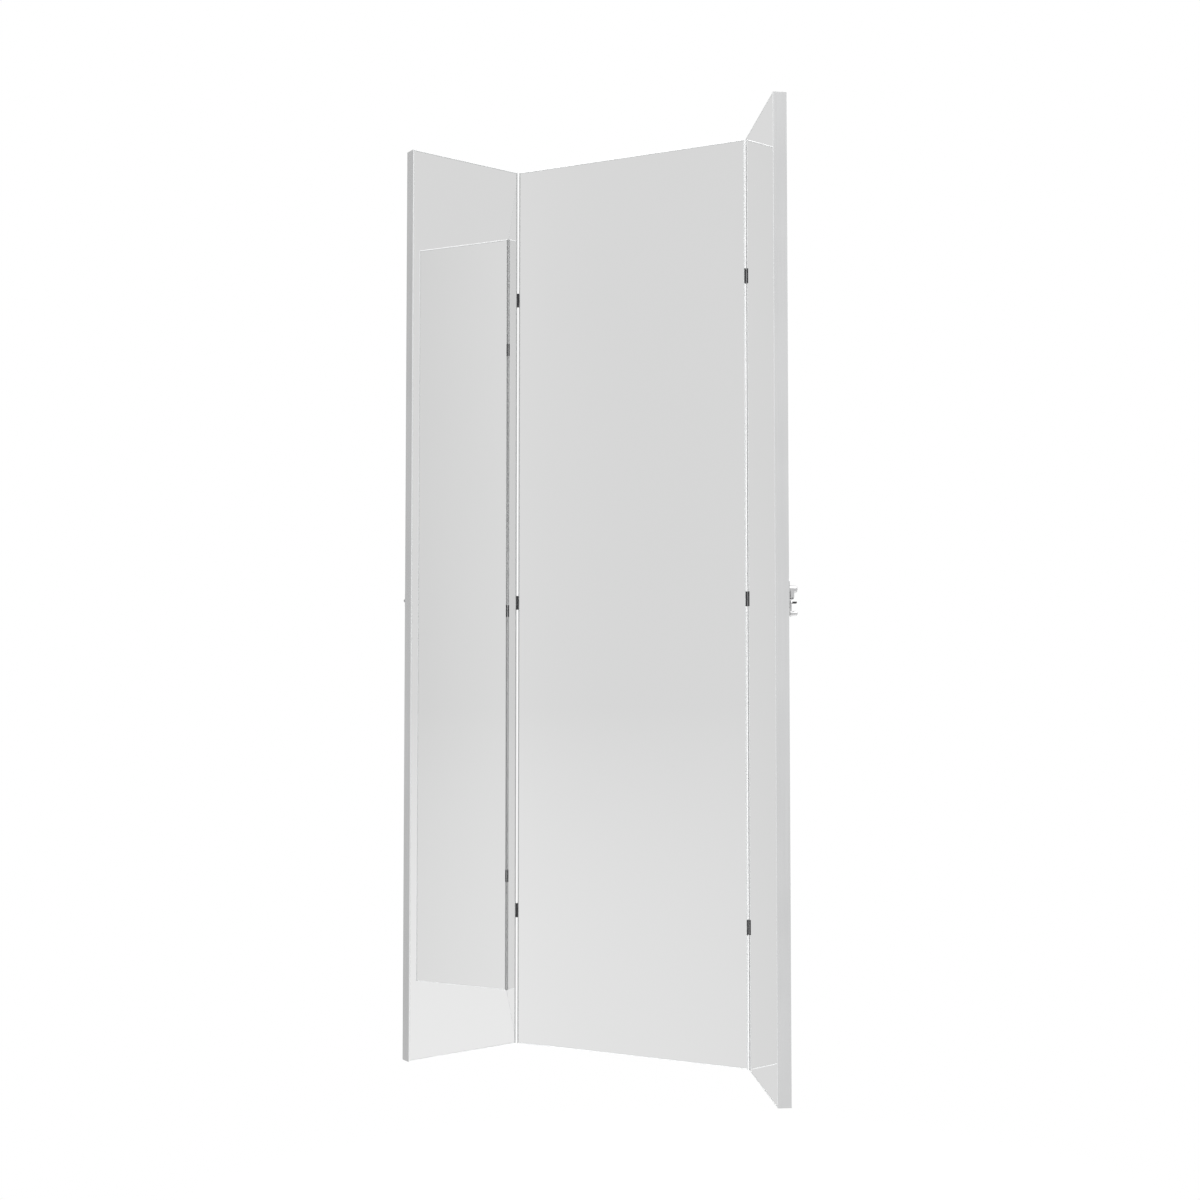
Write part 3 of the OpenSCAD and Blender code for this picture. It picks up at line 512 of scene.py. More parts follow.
def claw_painted_shade(name, colour, gloss, origin, outward, from_out, below):
    """Polished metal like the latch's, with painted shade on its claw: black, rough and not
    metallic where the distance outwards from the wing passes one level and the height is below
    another."""
    made, wire = new_finish(name)
    place = placed(wire, origin)
    out = wire.node("ShaderNodeVectorMath", {"operation": "DOT_PRODUCT"},
                    {0: place, 1: outward}, output="Value")
    _, _, height = parts_of(wire, place)
    # painted shade: the claw's lower outer part is made black, rough and not metallic
    rubber = out.step(from_out, from_out + CLAW_SHADE_EDGE) * (1 - height.step(below, below + CLAW_SHADE_EDGE))
    swirl = noise(wire, placed(wire), 340.0, 4.0, 0.7)
    grain = noise(wire, placed(wire), 2400.0)
    metal = blend_colour(wire, swirl.step(0.4, 0.7),
                         shade_of(colour, 1.0), shade_of(colour, 0.92))
    full = blend_colour(wire, rubber, metal, CLAW_SHADE_BLACK)
    rough = gloss + 0.05 * swirl + rubber * (0.30 + 0.15 * grain)
    close_finish(wire, {"Base Color": full, "Roughness": rough, "Metallic": 1 - rubber}, {},
                 swirl + rubber * grain, 0.00001, 0.00015)
    return made


def moulded(name, colour, gloss, grain=1800.0, lift=0.00003):
    """Moulded plastic or rubber: a fine spark grain with slightly uneven colour."""
    made, wire = new_finish(name)
    spark = noise(wire, placed(wire), grain)
    flow = noise(wire, placed(wire), 60.0, 3.0)
    full = blend_colour(wire, flow.step(0.3, 0.7),
                        shade_of(colour, 0.88), shade_of(colour, 1.14))
    close_finish(wire, {"Base Color": full, "Roughness": gloss + 0.12 * spark},
                 {"Metallic": 0.0}, spark, lift, 0.0003)
    return made


def points_of(node):
    """The points of a CAD node's mesh, as rows of x, y and z."""
    mesh = NODES[node].data
    points = np.zeros(len(mesh.vertices) * 3)
    mesh.vertices.foreach_get("co", points)
    return points.reshape(-1, 3)


def wear(finish, *names):
    """Gives CAD nodes a finish in every material slot they have."""
    for name in names:
        slots = NODES[name].data.materials
        slots.clear()
        slots.append(finish)


# ---------------------------------------------------------------- surfaces

def shell(rows, first=None, last=None, ring=False):
    """Points and faces of a body given as rows of points that each run once round it.

    Each cell between two rows and two columns is one face. first and last are the poles that close
    the ends, each joined to its row in a fan, and ring joins the last row to the first instead."""
    count, steps = rows.shape[:2]
    points = rows.reshape(-1, 3)
    i, j = np.meshgrid(np.arange(count if ring else count - 1), np.arange(steps), indexing="ij")
    k = (j + 1) % steps
    below = (i + 1) % count
    quads = np.stack([i * steps + j, i * steps + k, below * steps + k, below * steps + j], -1)
    quads = quads.reshape(-1, 4)
    fans = np.zeros((0, 3), int)
    column = np.arange(steps)
    turned = (column + 1) % steps
    for pole, row, flip in ((first, 0, True), (last, count - 1, False)):
        if pole is not None:
            tip = np.full(steps, len(points))
            points = np.vstack([points, [pole]])
            fan = np.stack([tip, row * steps + turned, row * steps + column], -1)
            fans = np.vstack([fans, fan if flip else fan[:, ::-1]])
    return points, quads, fans


def mesh_of(name, shells):
    """One mesh from shells, whose faces are counted on from those before."""
    starts = np.cumsum([0] + [len(points) for points, _, _ in shells])
    points = np.vstack([points for points, _, _ in shells])
    quads = np.vstack([quads + start for (_, quads, _), start in zip(shells, starts)])
    fans = np.vstack([fans + start for (_, _, fans), start in zip(shells, starts)])
    mesh = bpy.data.meshes.new(name)
    mesh.from_pydata(points.tolist(), [], quads.tolist() + fans.tolist())
    return mesh


def cross_recess(across, up, reach, depth):
    """Depth of a cross recess at a point of a screw's head: two tapered slots, each as deep as
    the smaller of how far the point is inside the slot's width and inside its length."""
    def slot(along, over):
        inside = np.minimum(1 - np.abs(along) / reach, 1 - np.abs(over) / (0.26 * reach))
        return np.clip(inside * 2.6, 0, 1)
    return depth * np.maximum(slot(across, up), slot(up, across))


def cut_screw(shank, head, head_depth, length, reach, depth, steps=48):
    """Countersunk screw along z, its face at z = 0: a circle carried down a profile. The face
    sinks by the cross recess, the cone narrows to the shank, and the shank's radius loses
    0.16 * shank * |2 * saw - 1|, where saw is the fraction of height / pitch + turn / circle."""
    turn = np.linspace(0, 2 * math.pi, steps, endpoint=False)
    face_r = head * np.array([0.06, 0.13, 0.20, 0.27, 0.34, 0.41,
                              0.48, 0.55, 0.62, 0.70, 0.85, 0.97])
    face_z = np.zeros_like(face_r)
    cone_r = np.array([head, shank + 0.5 * (head - shank), shank])
    cone_z = np.array([-0.04 * head, -0.5 * head_depth, -head_depth])
    body_z = np.linspace(-head_depth - 0.05 * length, -0.93 * length, 30)
    body_r = np.full_like(body_z, shank)
    tip_r = np.array([0.55 * shank])
    tip_z = np.array([-length])
    radius = np.concatenate([face_r, cone_r, body_r, tip_r])
    height = np.concatenate([face_z, cone_z, body_z, tip_z])
    across = radius[:, None] * np.cos(turn)
    up = radius[:, None] * np.sin(turn)
    sink = cross_recess(across[:len(face_r)], up[:len(face_r)], reach * head, depth)
    level = np.repeat(height[:, None], steps, 1)
    level[:len(face_r)] -= sink
    ridge = np.zeros_like(level)
    body = slice(len(face_r) + 3, len(face_r) + 3 + len(body_z))
    phase = level[body] / (0.55 * shank) + turn / (2 * math.pi)
    ridge[body] = -0.16 * shank * np.abs(2 * (phase - np.floor(phase)) - 1)
    grow = 1 + ridge / radius[:, None]
    rows = np.stack([across * grow, up * grow, level], -1)
    return shell(rows, (0, 0, -depth), (0, 0, -length))


def hexagon(turn):
    """Radius of a hexagon with corners at radius 1, at each turn: the flat's distance over the
    cosine of the turn from the flat's middle."""
    sixth = math.pi / 3
    return math.cos(sixth / 2) / np.cos(np.mod(turn, sixth) - sixth / 2)


def turned(profile, pitch, depth, thread, steps=72):
    """Body along z from a profile of (radius, height, share): the radius at a turn is the given
    one times 1 - share + share * hexagon. Between the two heights of the thread the radius loses
    depth * |2 * saw - 1|, where saw is the fraction of height / pitch + turn / circle. Poles on
    the axis close both ends."""
    turn = np.linspace(0, 2 * math.pi, steps, endpoint=False)
    radius, height, share = (np.array(column)[:, None] for column in zip(*profile))
    wide = radius * (1 - share + share * hexagon(turn))
    saw = np.mod(height / pitch + turn / (2 * math.pi), 1.0)
    inside = (height > thread[0]) & (height < thread[1])
    wide = wide - np.where(inside, depth * np.abs(2 * saw - 1), 0.0)
    rows = np.stack([wide * np.cos(turn), wide * np.sin(turn), height + 0 * turn], -1)
    return shell(rows, (0, 0, profile[0][1]), (0, 0, profile[-1][1]))


def lock_nut(corner, bore, low, high, collar, steps=72):
    """Hexagon nut with a collar below: one closed loop of rows, up the bore, out over the top, down
    the flats and round the collar. A chamfer row lies a share t of the way from a circle to the
    hexagon, and is further in by the tangent of 30 degrees times how far it is past the circle."""
    turn = np.linspace(0, 2 * math.pi, steps, endpoint=False)
    flats = corner * hexagon(turn)
    circle = 0.95 * flats.min()
    slope = math.tan(math.radians(30))
    plain = np.ones_like(turn)
    step_z = low + collar
    bore_edge, rounding, lip = 0.3 * MM, 0.8 * MM, 0.9 * MM
    loop = [(bore * plain, low + 0.4 * collar), (bore * plain, 0.5 * (low + high)),
            (bore * plain, high - bore_edge), ((bore + bore_edge) * plain, high),
            (circle * plain, high)]
    for t in (0.35, 0.7, 1.0):
        radius = circle + t * (flats - circle)
        loop.append((radius, high - (radius - circle) * slope))
    for t in (1.0, 0.7, 0.35, 0.0):
        radius = circle + t * (flats - circle)
        loop.append((radius, step_z + (radius - circle) * slope))
    ring = 0.86 * circle
    for angle in (0.0, 0.4, 0.8, 1.2, math.pi / 2):
        loop.append(((ring - rounding + rounding * math.cos(angle)) * plain,
                     low + rounding * (1 - math.sin(angle))))
    loop.append(((bore + lip) * plain, low))
    loop.append(((bore + lip) * plain, low + 0.4 * collar))
    rows = np.stack([np.stack([radius * np.cos(turn), radius * np.sin(turn), level + 0 * turn], -1)
                     for radius, level in loop])
    return shell(rows[:, ::-1], ring=True)


def ribbed_block(lowest, highest, rib, ribs, steps=96):
    """Rubber block: rounded rectangles stacked in height. Each is a superellipse of power 8, the
    ends draw in over the last millimetre, and the front sinks by the rib times a squared sine of
    the height."""
    middle, half = (lowest + highest) / 2, (highest - lowest) / 2
    level = np.concatenate([[0.0, 0.01, 0.03], np.linspace(0.06, 0.94, 60), [0.97, 0.99, 1.0]])
    turn = np.linspace(0, 2 * math.pi, steps, endpoint=False)
    power = 2.0 / 8
    x = np.sign(np.cos(turn)) * np.abs(np.cos(turn)) ** power
    y = np.sign(np.sin(turn)) * np.abs(np.sin(turn)) ** power
    edge = np.minimum(level, 1 - level) * 2 * half[2]
    draw = 1 - 0.12 * np.clip(1 - edge / MM, 0, 1) ** 2
    wave = np.sin(math.pi * ribs * level) ** 2 * (edge > 0.5 * MM)
    along = middle[1] + half[1] * draw[:, None] * y
    along = along + rib * wave[:, None] * np.clip(-y, 0, 1) ** 2
    rows = np.stack([middle[0] + half[0] * draw[:, None] * x, along,
                     np.repeat((lowest[2] + 2 * half[2] * level)[:, None], steps, 1)], -1)
    return shell(rows, (middle[0], middle[1], lowest[2]), (middle[0], middle[1], highest[2]))


def placed_shell(made, matrix):
    """A shell carried by a 4 by 4 matrix."""
    points, quads, fans = made
    return points @ matrix[:3, :3].T + matrix[:3, 3], quads, fans


def facing(direction, origin):
    """Matrix that takes z to a level direction, y to the height and 0 to an origin."""
    z = np.asarray(direction, float) / np.linalg.norm(direction)
    x = np.cross((0, 0, 1), z)
    x /= np.linalg.norm(x)
    made = np.eye(4)
    made[:3, 0], made[:3, 1], made[:3, 2], made[:3, 3] = x, np.cross(z, x), z, origin
    return made


def show(name, mesh, finish, body, slot, *stood_for):
    """Puts a mesh into the scene as a piece that rides on a body and stands for CAD nodes."""
    mesh.materials.append(finish)
    mesh.polygons.foreach_set("use_smooth", np.ones(len(mesh.polygons), bool))
    made = bpy.data.objects.new(name, mesh)
    bpy.context.scene.collection.objects.link(made)
    made.data.set_sharp_from_angle(angle=math.radians(38))
    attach(made, body)
    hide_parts(*stood_for)


def body_of(node):
    """The body that a CAD node rides on."""
    return NODES[node]["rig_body"]


def screw_axes(node):
    """Where each screw of a CAD node is: the centre of its face and the direction it faces.

    The screws' points are split where their heights leave a gap, then by the side of the node's
    middle. The face is the end where the points lie furthest from the screw's own axis."""
    points = points_of(node)
    found = []
    order = points[np.argsort(points[:, 2])]
    cuts = np.where(np.diff(order[:, 2]) > 1.5 * MM)[0] + 1
    for layer in np.split(order, cuts):
        wide = np.ptp(layer[:, 0]) > 0.1
        middle = (layer[:, 0].min() + layer[:, 0].max()) / 2
        sides = [layer[layer[:, 0] < middle], layer[layer[:, 0] >= middle]] if wide else [layer]
        for body in sides:
            height = (body[:, 2].min() + body[:, 2].max()) / 2
            flat = body[:, :2]
            top = flat[body[:, 2] > body[:, 2].max() - 0.02 * MM].mean(0)
            way = np.linalg.svd(flat - flat.mean(0), full_matrices=False)[2][0]
            along = (flat - top) @ way
            # the widest ring is the head's rim, which lies at the face
            tall = np.abs(body[:, 2] - height)
            rim = along[tall > tall.max() - 0.02 * MM].mean()
            far = max(along.max(), along.min(), key=lambda end: abs(end - rim))
            out = way if far < rim else -way
            found.append((np.array([*top, height]), np.array([*out, 0.0])))
    return found


def panel_place(panel):
    """Middle of a panel's glass, the panel's turn about the height, half the width and height of
    its glass and of its frame, and where the frame's front lies, in front of the middle."""
    fold = {"centre": 0.0}
    for side, sign in (("left", 1), ("right", -1)):
        fold[side] = sign * math.radians(-JOINTS[side + "_wing_fold"]["range_deg"][0])
    turn = fold[panel]
    points = points_of(panel + "_glass")
    unfold = np.array([[math.cos(turn), -math.sin(turn)], [math.sin(turn), math.cos(turn)]])
    level = points[:, :2] @ unfold
    middle = (level.min(0) + level.max(0)) / 2
    x = middle[0] * math.cos(turn) - middle[1] * math.sin(turn)
    y = middle[0] * math.sin(turn) + middle[1] * math.cos(turn)
    glass = (np.ptp(level[:, 0]) / 2, np.ptp(points[:, 2]) / 2)
    lowest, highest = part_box(PANELS[panel][0])
    margin = (highest.z - lowest.z) / 2 - glass[1]
    front = (points_of(panel + "_top_rail")[:, :2] @ unfold)[:, 1].min() - middle[1]
    return (x, y, 0.0), turn, glass, (glass[0] + margin, glass[1] + margin), front


# ---------------------------------------------------------------- operators

class MIRROR_OT_frames(bpy.types.Operator):
    """Anodised finish on the twelve frame members"""
    bl_idname = "mirror.dress_frames"
    bl_label = "Frame members"

    def execute(self, context):
        look = context.scene.mirror_finish
        for panel, stiles in PANELS.items():
            centre, turn, _, half, front = panel_place(panel)
            members = [(stile, (stile,)) for stile in stiles]
            members.append((panel + "_rails", (panel + "_top_rail", panel + "_bottom_rail")))
            for name, nodes in members:
                finish = anodised("anodised_" + name, look.frame_colour, look.frame_gloss,
                                  centre, turn, len(nodes) == 1, half, front,
                                  RIM_SHADE_BESIDE_HINGES.get(name, RIM_HIGHLIGHT))
                wear(finish, *nodes)
        return {"FINISHED"}


class MIRROR_OT_glass(bpy.types.Operator):
    """Silvered glass in the three panels"""
    bl_idname = "mirror.dress_glass"
    bl_label = "Mirror glass"

    def execute(self, context):
        colour = context.scene.mirror_finish.silver_colour
        for panel in PANELS:
            centre, turn, half, _, _ = panel_place(panel)
            wear(silvered("silvered_" + panel, colour, centre, turn, half), panel + "_glass")
        return {"FINISHED"}


class MIRROR_OT_backs(bpy.types.Operator):
    """Painted board on the backs of the panels"""
    bl_idname = "mirror.dress_backs"
    bl_label = "Back panels"

    def execute(self, context):
        finish = fibre_board("painted_board", context.scene.mirror_finish.back_colour)
        wear(finish, "centre_back", "left_back", "right_back")
        return {"FINISHED"}


class MIRROR_OT_slide(bpy.types.Operator):
    """Plated rails, cages and balls of the slide"""
    bl_idname = "mirror.dress_slide"
    bl_label = "Ball slide"

    def execute(self, context):
        zinc = context.scene.mirror_finish.zinc_colour
        rolled = (1, 0.02, 1)
        wear(plated("zinc_rails", zinc, 0.34, rolled), "cabinet_rail", "middle_rail", "inner_rail")
        wear(plated("zinc_cages", CAGE_ZINC, 0.30, rolled, 0.06), "outer_cage", "inner_cage")
        wear(chromed("ball_steel", BALL_STEEL, 0.05), "outer_balls", "inner_balls")
        return {"FINISHED"}


class MIRROR_OT_swivel(bpy.types.Operator):
    """Plated arm, bracket and rivets and nylon bushes of the swivel"""
    bl_idname = "mirror.dress_swivel"
    bl_label = "Swivel"

    def execute(self, context):
        look = context.scene.mirror_finish
        wear(plated("zinc_sheet", look.zinc_colour, 0.32, mottle=0.12),
             "slide_arm", "swivel_bracket")
        wear(plated("zinc_fasteners", RIVET_ZINC, 0.26, mottle=0.05, rounding=0.0002),
             "arm_rivets", "bracket_nuts")
        wear(moulded("nylon", look.bush_colour, 0.42), "swivel_bushes")
        return {"FINISHED"}


class MIRROR_OT_hinges(bpy.types.Operator):
    """Blackened hinge leaves and pins"""
    bl_idname = "mirror.dress_hinges"
    bl_label = "Hinges"

    def execute(self, context):
        finish = blackened("blackened_steel", context.scene.mirror_finish.hinge_colour)
        wear(finish, "centre_hinge_leaves", "left_hinge_leaves", "right_hinge_leaves", "hinge_pins")
        return {"FINISHED"}


class MIRROR_OT_latch(bpy.types.Operator):
    """Nickel latch and keeper, whose lever's claw has painted shade in black on its lower outer
    part
    """
    bl_idname = "mirror.dress_latch"
    bl_label = "Latch and keeper"

    def execute(self, context):
        colour = context.scene.mirror_finish.chrome_colour
        wear(chromed("latch_nickel", colour, LATCH_GLOSS), "latch_plate", "latch_post",
             "latch_peg", "latch_washer", "keeper_plate", "keeper_stud")
        pivot = np.array(JOINTS["latch_turn"]["pos_m"])
        outward = -np.array(JOINTS["latch_turn"]["axis"])
        points = points_of("latch_lever") - pivot
        out = points @ outward
        lip = points[out > out.max() - 0.05 * MM]
        # the claw's lower outer part, past 1.7 mm out and below the top of its lip, gets painted
        # shade
        wear(claw_painted_shade("latch_claw_painted_shade", colour, LATCH_GLOSS, tuple(pivot), tuple(outward),
                    out.min() + 1.7 * MM, lip[:, 2].max() + 0.2 * MM), "latch_lever")
        return {"FINISHED"}


class MIRROR_OT_inside(bpy.types.Operator):
    """Corner keys, hinge blocks and cross bars inside the panels"""
    bl_idname = "mirror.dress_inside"
    bl_label = "Inner pieces"

    def execute(self, context):
        look = context.scene.mirror_finish
        keys = moulded("corner_plastic", look.inner_colour, 0.48)
        wear(keys, "centre_corner_keys", "left_corner_keys", "right_corner_keys")
        mill = plated("mill_aluminium", MILL_ALUMINIUM, 0.38, (1, 1, 0.02), 0.04)
        wear(mill, "cross_bars", "centre_hinge_blocks", "left_hinge_blocks", "right_hinge_blocks")
        return {"FINISHED"}


class MIRROR_OT_screws(bpy.types.Operator):
    """Countersunk screws with cross recesses and threads, in place of the plain ones"""
    bl_idname = "mirror.make_screws"
    bl_label = "Screws"

    def execute(self, context):
        size = context.scene.mirror_sizes
        black = blackened("screw_black", SCREW_BLACK)
        bright = chromed("screw_chrome", context.scene.mirror_finish.chrome_colour, LATCH_GLOSS)
        hinge = (size.screw_shank, size.screw_head, size.screw_depth, size.screw_length)
        groups = (("centre_hinge_screws", 12, black, "screw", hinge),
                  ("left_hinge_screws", 6, black, "screw", hinge),
                  ("right_hinge_screws", 6, black, "screw", hinge),
                  ("latch_screws", 2, bright, "latch", LATCH_SCREW),
                  ("keeper_screws", 2, bright, "latch", LATCH_SCREW))
        for node, count, finish, slot, form in groups:
            axes = screw_axes(node)
            if len(axes) != count:
                raise RuntimeError("%s has %d screws, not %d" % (node, len(axes), count))
            plain = cut_screw(*form, size.recess_reach, size.recess_depth)
            shells = []
            for number, (origin, out) in enumerate(axes):
                spin = np.array(Matrix.Rotation(SCREW_SPIN * number, 4, "Z"))
                shells.append(placed_shell(plain, facing(out, origin) @ spin))
            mesh = mesh_of(node + "_cut", shells)
            show(node + "_cut", mesh, finish, body_of(node), slot, node)
        return {"FINISHED"}


class MIRROR_OT_pin(bpy.types.Operator):
    """Swivel pin with a hexagon socket and a thread, and its lock nut with a collar"""
    bl_idname = "mirror.make_pin"
    bl_label = "Swivel pin and nut"

    def execute(self, context):
        size = context.scene.mirror_fasteners
        finish = plated("zinc_pin", BOLT_ZINC, BOLT_GLOSS, mottle=0.05, rounding=0.0)
        lowest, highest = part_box("swivel_pin")
        x, y = (lowest.x + highest.x) / 2, (lowest.y + highest.y) / 2
        head = (highest.x - lowest.x) / 2
        radius, rise, top, tail = size.pin_radius, size.pin_head, highest.z, lowest.z
        shoulder = top - rise
        profile = [(0.40 * head, top - 0.55 * rise, 1), (0.42 * head, top - 0.5 * rise, 1),
                   (0.42 * head, top - 0.1 * MM, 1), (0.46 * head, top, 0.5),
                   (0.74 * head, top, 0), (0.84 * head, top - 0.08 * rise, 0),
                   (0.93 * head, top - 0.22 * rise, 0), (head, top - 0.42 * rise, 0),
                   (head, shoulder + 0.15 * MM, 0), (0.975 * head, shoulder, 0),
                   (radius, shoulder, 0)]
        thread_top = tail + size.pin_thread
        plain = np.linspace(shoulder - MM, thread_top + 0.1 * MM, 6)
        ridged = np.linspace(thread_top, tail + 0.7 * MM, 100)
        profile += [(radius, level, 0) for level in (*plain, *ridged)]
        profile += [(0.84 * radius, tail + 0.05 * MM, 0), (0.80 * radius, tail, 0)]
        made = turned(profile, *PIN_RIDGE, (tail + 0.6 * MM, thread_top))
        place = np.eye(4)
        place[:2, 3] = x, y
        mesh = mesh_of("swivel_pin_cut", [placed_shell(made, place)])
        show("swivel_pin_cut", mesh, finish, body_of("swivel_pin"), "screw", "swivel_pin")
        low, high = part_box("swivel_nut")
        nut = lock_nut((high.x - low.x) / 2, radius + 0.02 * MM, low.z, high.z, NUT_COLLAR)
        mesh = mesh_of("swivel_nut_cut", [placed_shell(nut, place)])
        show("swivel_nut_cut", mesh, finish, body_of("swivel_nut"), "screw", "swivel_nut")
        return {"FINISHED"}


class MIRROR_OT_bolts(bpy.types.Operator):
    """Button head bolts with hexagon sockets and threads"""
    bl_idname = "mirror.make_bolts"
    bl_label = "Bracket bolts"

    def execute(self, context):
        size = context.scene.mirror_fasteners
        finish = plated("zinc_bolts", BOLT_ZINC, BOLT_GLOSS, mottle=0.05, rounding=0.0)
        lowest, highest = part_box("bracket_bolts")
        head, rise, shank = size.bolt_head, size.bolt_head_height, size.bolt_radius
        length = highest.y - lowest.y - rise
        socket = 0.40 * head
        profile = [(0.9 * socket, 0.25 * rise, 1), (socket, 0.3 * rise, 1),
                   (socket, 0.97 * rise, 1), (1.08 * socket, rise, 0.6)]
        dome = np.linspace(0.55, 0.995, 7)
        profile += [(head * r, rise * (0.22 + 0.78 * math.sqrt(1 - ((r - 0.55) / 0.47) ** 2)), 0)
                    for r in dome]
        profile += [(head, 0.12 * rise, 0), (0.985 * head, 0, 0), (shank, 0, 0)]
        ridged = np.linspace(-0.4 * MM, 0.5 * MM - length, 90)
        profile += [(shank, level, 0) for level in ridged]
        profile += [(0.8 * shank, -length, 0)]
        made = turned(profile, *BOLT_RIDGE, (0.4 * MM - length, -0.3 * MM))
        seat = highest.y - rise
        shells = [placed_shell(made, facing((0, 1, 0), (x, seat, z)))
                  for x in (lowest.x + head, highest.x - head)
                  for z in (lowest.z + head, highest.z - head)]
        mesh = mesh_of("bracket_bolts_cut", shells)
        show("bracket_bolts_cut", mesh, finish, body_of("bracket_bolts"), "screw", "bracket_bolts")
        return {"FINISHED"}


class MIRROR_OT_bumper(bpy.types.Operator):
    """Ribbed rubber bumper at the rear end of the cabinet rail"""
    bl_idname = "mirror.make_bumper"
    bl_label = "Bumper"

    def execute(self, context):
        finish = moulded("bumper_rubber", BUMPER_BLACK, 0.66, 900.0, 0.00008)
        lowest, highest = (np.array(corner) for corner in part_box("rail_bumper"))
        rib = context.scene.mirror_fasteners.bumper_rib
        made = ribbed_block(lowest, highest, rib, BUMPER_RIBS)
        mesh = mesh_of("rail_bumper_ribbed", [made])
        show("rail_bumper_ribbed", mesh, finish, body_of("rail_bumper"), "bumper",
             "rail_bumper")
        return {"FINISHED"}


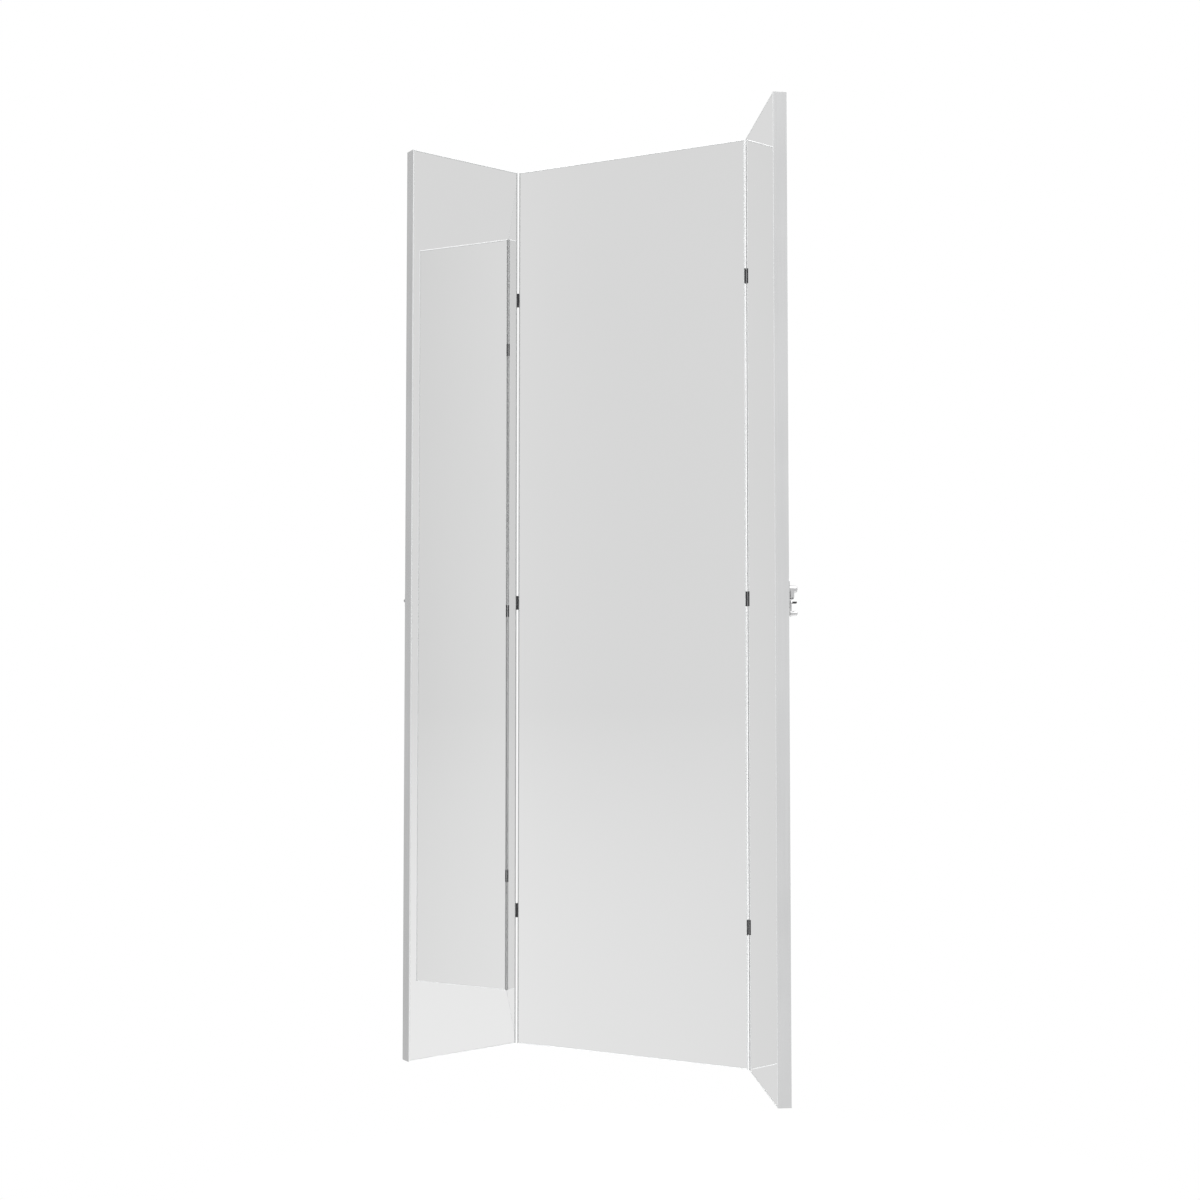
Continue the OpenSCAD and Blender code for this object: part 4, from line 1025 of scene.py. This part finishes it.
class MIRROR_OT_studio(bpy.types.Operator):
    """Camera, pale floor and soft room light"""
    bl_idname = "mirror.set_studio"
    bl_label = "Studio"

    def execute(self, context):
        studio = context.scene.mirror_studio
        lens = bpy.data.cameras.new("camera")
        camera = bpy.data.objects.new("camera", lens)
        context.scene.collection.objects.link(camera)
        camera.location = studio.camera_place
        camera.rotation_euler = (math.pi / 2 + studio.camera_tilt, 0, studio.camera_turn)
        lens.sensor_width = 36
        lens.lens = studio.camera_lens
        context.scene.camera = camera
        self.make_floor(context, studio)
        self.make_room(context, studio)
        context.scene.view_settings.view_transform = "Standard"
        context.scene.view_settings.look = "None"
        return {"FINISHED"}

    def make_floor(self, context, studio):
        """A disc of rings below the mirror, whose paint fades out towards its rim."""
        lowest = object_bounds()[0]
        rings = np.linspace(0.02, 1.0, 24) * studio.floor_reach
        turn = np.linspace(0, 2 * math.pi, 64, endpoint=False)
        level = lowest.z - studio.floor_drop
        rows = np.stack([rings[:, None] * np.cos(turn), rings[:, None] * np.sin(turn),
                         np.full((len(rings), len(turn)), level)], -1)[::-1]
        mesh = mesh_of("floor", [shell(rows, last=(0, 0, level))])
        finish, wire = new_finish("floor_paint")
        across, deep, _ = parts_of(wire, placed(wire))
        radius = (across * across + deep * deep) ** 0.5
        mottle = noise(wire, placed(wire), 3.0, 3.0).step(0.3, 0.7)
        tone = blend_colour(wire, mottle, *FLOOR_TONES)
        paint = wire.node("ShaderNodeBsdfPrincipled", None,
                          {"Base Color": tone, "Roughness": 0.9}, output="BSDF")
        clear = wire.node("ShaderNodeBsdfTransparent")
        fade = radius.step(0.30 * studio.floor_reach, 0.98 * studio.floor_reach)
        both = wire.node("ShaderNodeMixShader", None, {0: fade, 1: paint, 2: clear})
        wire.end("Material", both)
        mesh.materials.append(finish)
        floor = bpy.data.objects.new("floor", mesh)
        context.scene.collection.objects.link(floor)
        floor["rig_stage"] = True

    def make_room(self, context, studio):
        """White surroundings for the view, and a room that lights and is mirrored. Each light is
        exp((cosine - 1) / width) of the level angle from its direction."""
        room = bpy.data.worlds.new("room")
        context.scene.world = room
        room.use_nodes = True
        room.node_tree.nodes.clear()
        wire = Wire(room.node_tree)
        way = wire.node("ShaderNodeTexCoord", None, None, output="Generated")
        _, _, up = parts_of(wire, way)
        level = wire.node("ShaderNodeVectorMath", {"operation": "MULTIPLY"},
                          {0: way, 1: (1, 1, 0)})
        level = wire.node("ShaderNodeVectorMath", {"operation": "NORMALIZE"}, {0: level})

        def lobe(direction, width):
            near = wire.node("ShaderNodeVectorMath", {"operation": "DOT_PRODUCT"},
                             {0: level, 1: (*direction, 0)}, output="Value")
            return wire.math("EXPONENT", (near - 1) / width)

        light = studio.room_light + studio.top_light * up.step(*CEILING_RISE)
        light = light + studio.strip_light * up.step(*STRIP_RISE) * lobe(*STRIP)
        for direction, width, gain in PANELS_OF_LIGHT:
            light = light + gain * lobe(direction, width)
        drop = wire.math("MAXIMUM", 0 - up - LOW_START, 0.0)
        below = 1 - wire.math("EXPONENT", 0 - drop / LOW_GROWTH)
        low = 0.0
        for direction, width, gain in LOW_LIGHTS:
            low = low + gain * lobe(direction, width)
        light = light + studio.low_light * below * low
        light = light * (1 - studio.flag * lobe(*FLAG) * (1 - up.step(*FLAG_TOP)))
        seen = wire.node("ShaderNodeLightPath", None, None, output="Is Camera Ray")
        shown = light * (1 - seen) + 1.0 * seen
        sky = wire.node("ShaderNodeBackground", None, {"Color": (1, 1, 1, 1), "Strength": shown})
        wire.end("World", sky)


OPERATORS = (MIRROR_OT_frames, MIRROR_OT_glass, MIRROR_OT_backs, MIRROR_OT_slide, MIRROR_OT_swivel,
             MIRROR_OT_hinges, MIRROR_OT_latch, MIRROR_OT_inside, MIRROR_OT_screws,
             MIRROR_OT_pin, MIRROR_OT_bolts, MIRROR_OT_bumper, MIRROR_OT_studio)


class MIRROR_PT_panel(bpy.types.Panel):
    """The mirror's pieces and studio"""
    bl_label = "Closet mirror"
    bl_idname = "MIRROR_PT_panel"
    bl_space_type = "VIEW_3D"
    bl_region_type = "UI"
    bl_category = "Mirror"

    def draw(self, context):
        for piece in OPERATORS:
            self.layout.operator(piece.bl_idname)


CLASSES = (MirrorFinish, MirrorSizes, MirrorFasteners, MirrorStudio, *OPERATORS, MIRROR_PT_panel)


def register():
    for kind in CLASSES:
        bpy.utils.register_class(kind)
    bpy.types.Scene.mirror_finish = bpy.props.PointerProperty(type=MirrorFinish)
    bpy.types.Scene.mirror_sizes = bpy.props.PointerProperty(type=MirrorSizes)
    bpy.types.Scene.mirror_fasteners = bpy.props.PointerProperty(type=MirrorFasteners)
    bpy.types.Scene.mirror_studio = bpy.props.PointerProperty(type=MirrorStudio)


def unregister():
    del bpy.types.Scene.mirror_studio
    del bpy.types.Scene.mirror_fasteners
    del bpy.types.Scene.mirror_sizes
    del bpy.types.Scene.mirror_finish
    for kind in reversed(CLASSES):
        bpy.utils.unregister_class(kind)


def main():
    register()
    for piece in OPERATORS:
        group, name = piece.bl_idname.split(".")
        getattr(getattr(bpy.ops, group), name)()


if __name__ == "__main__":
    main()
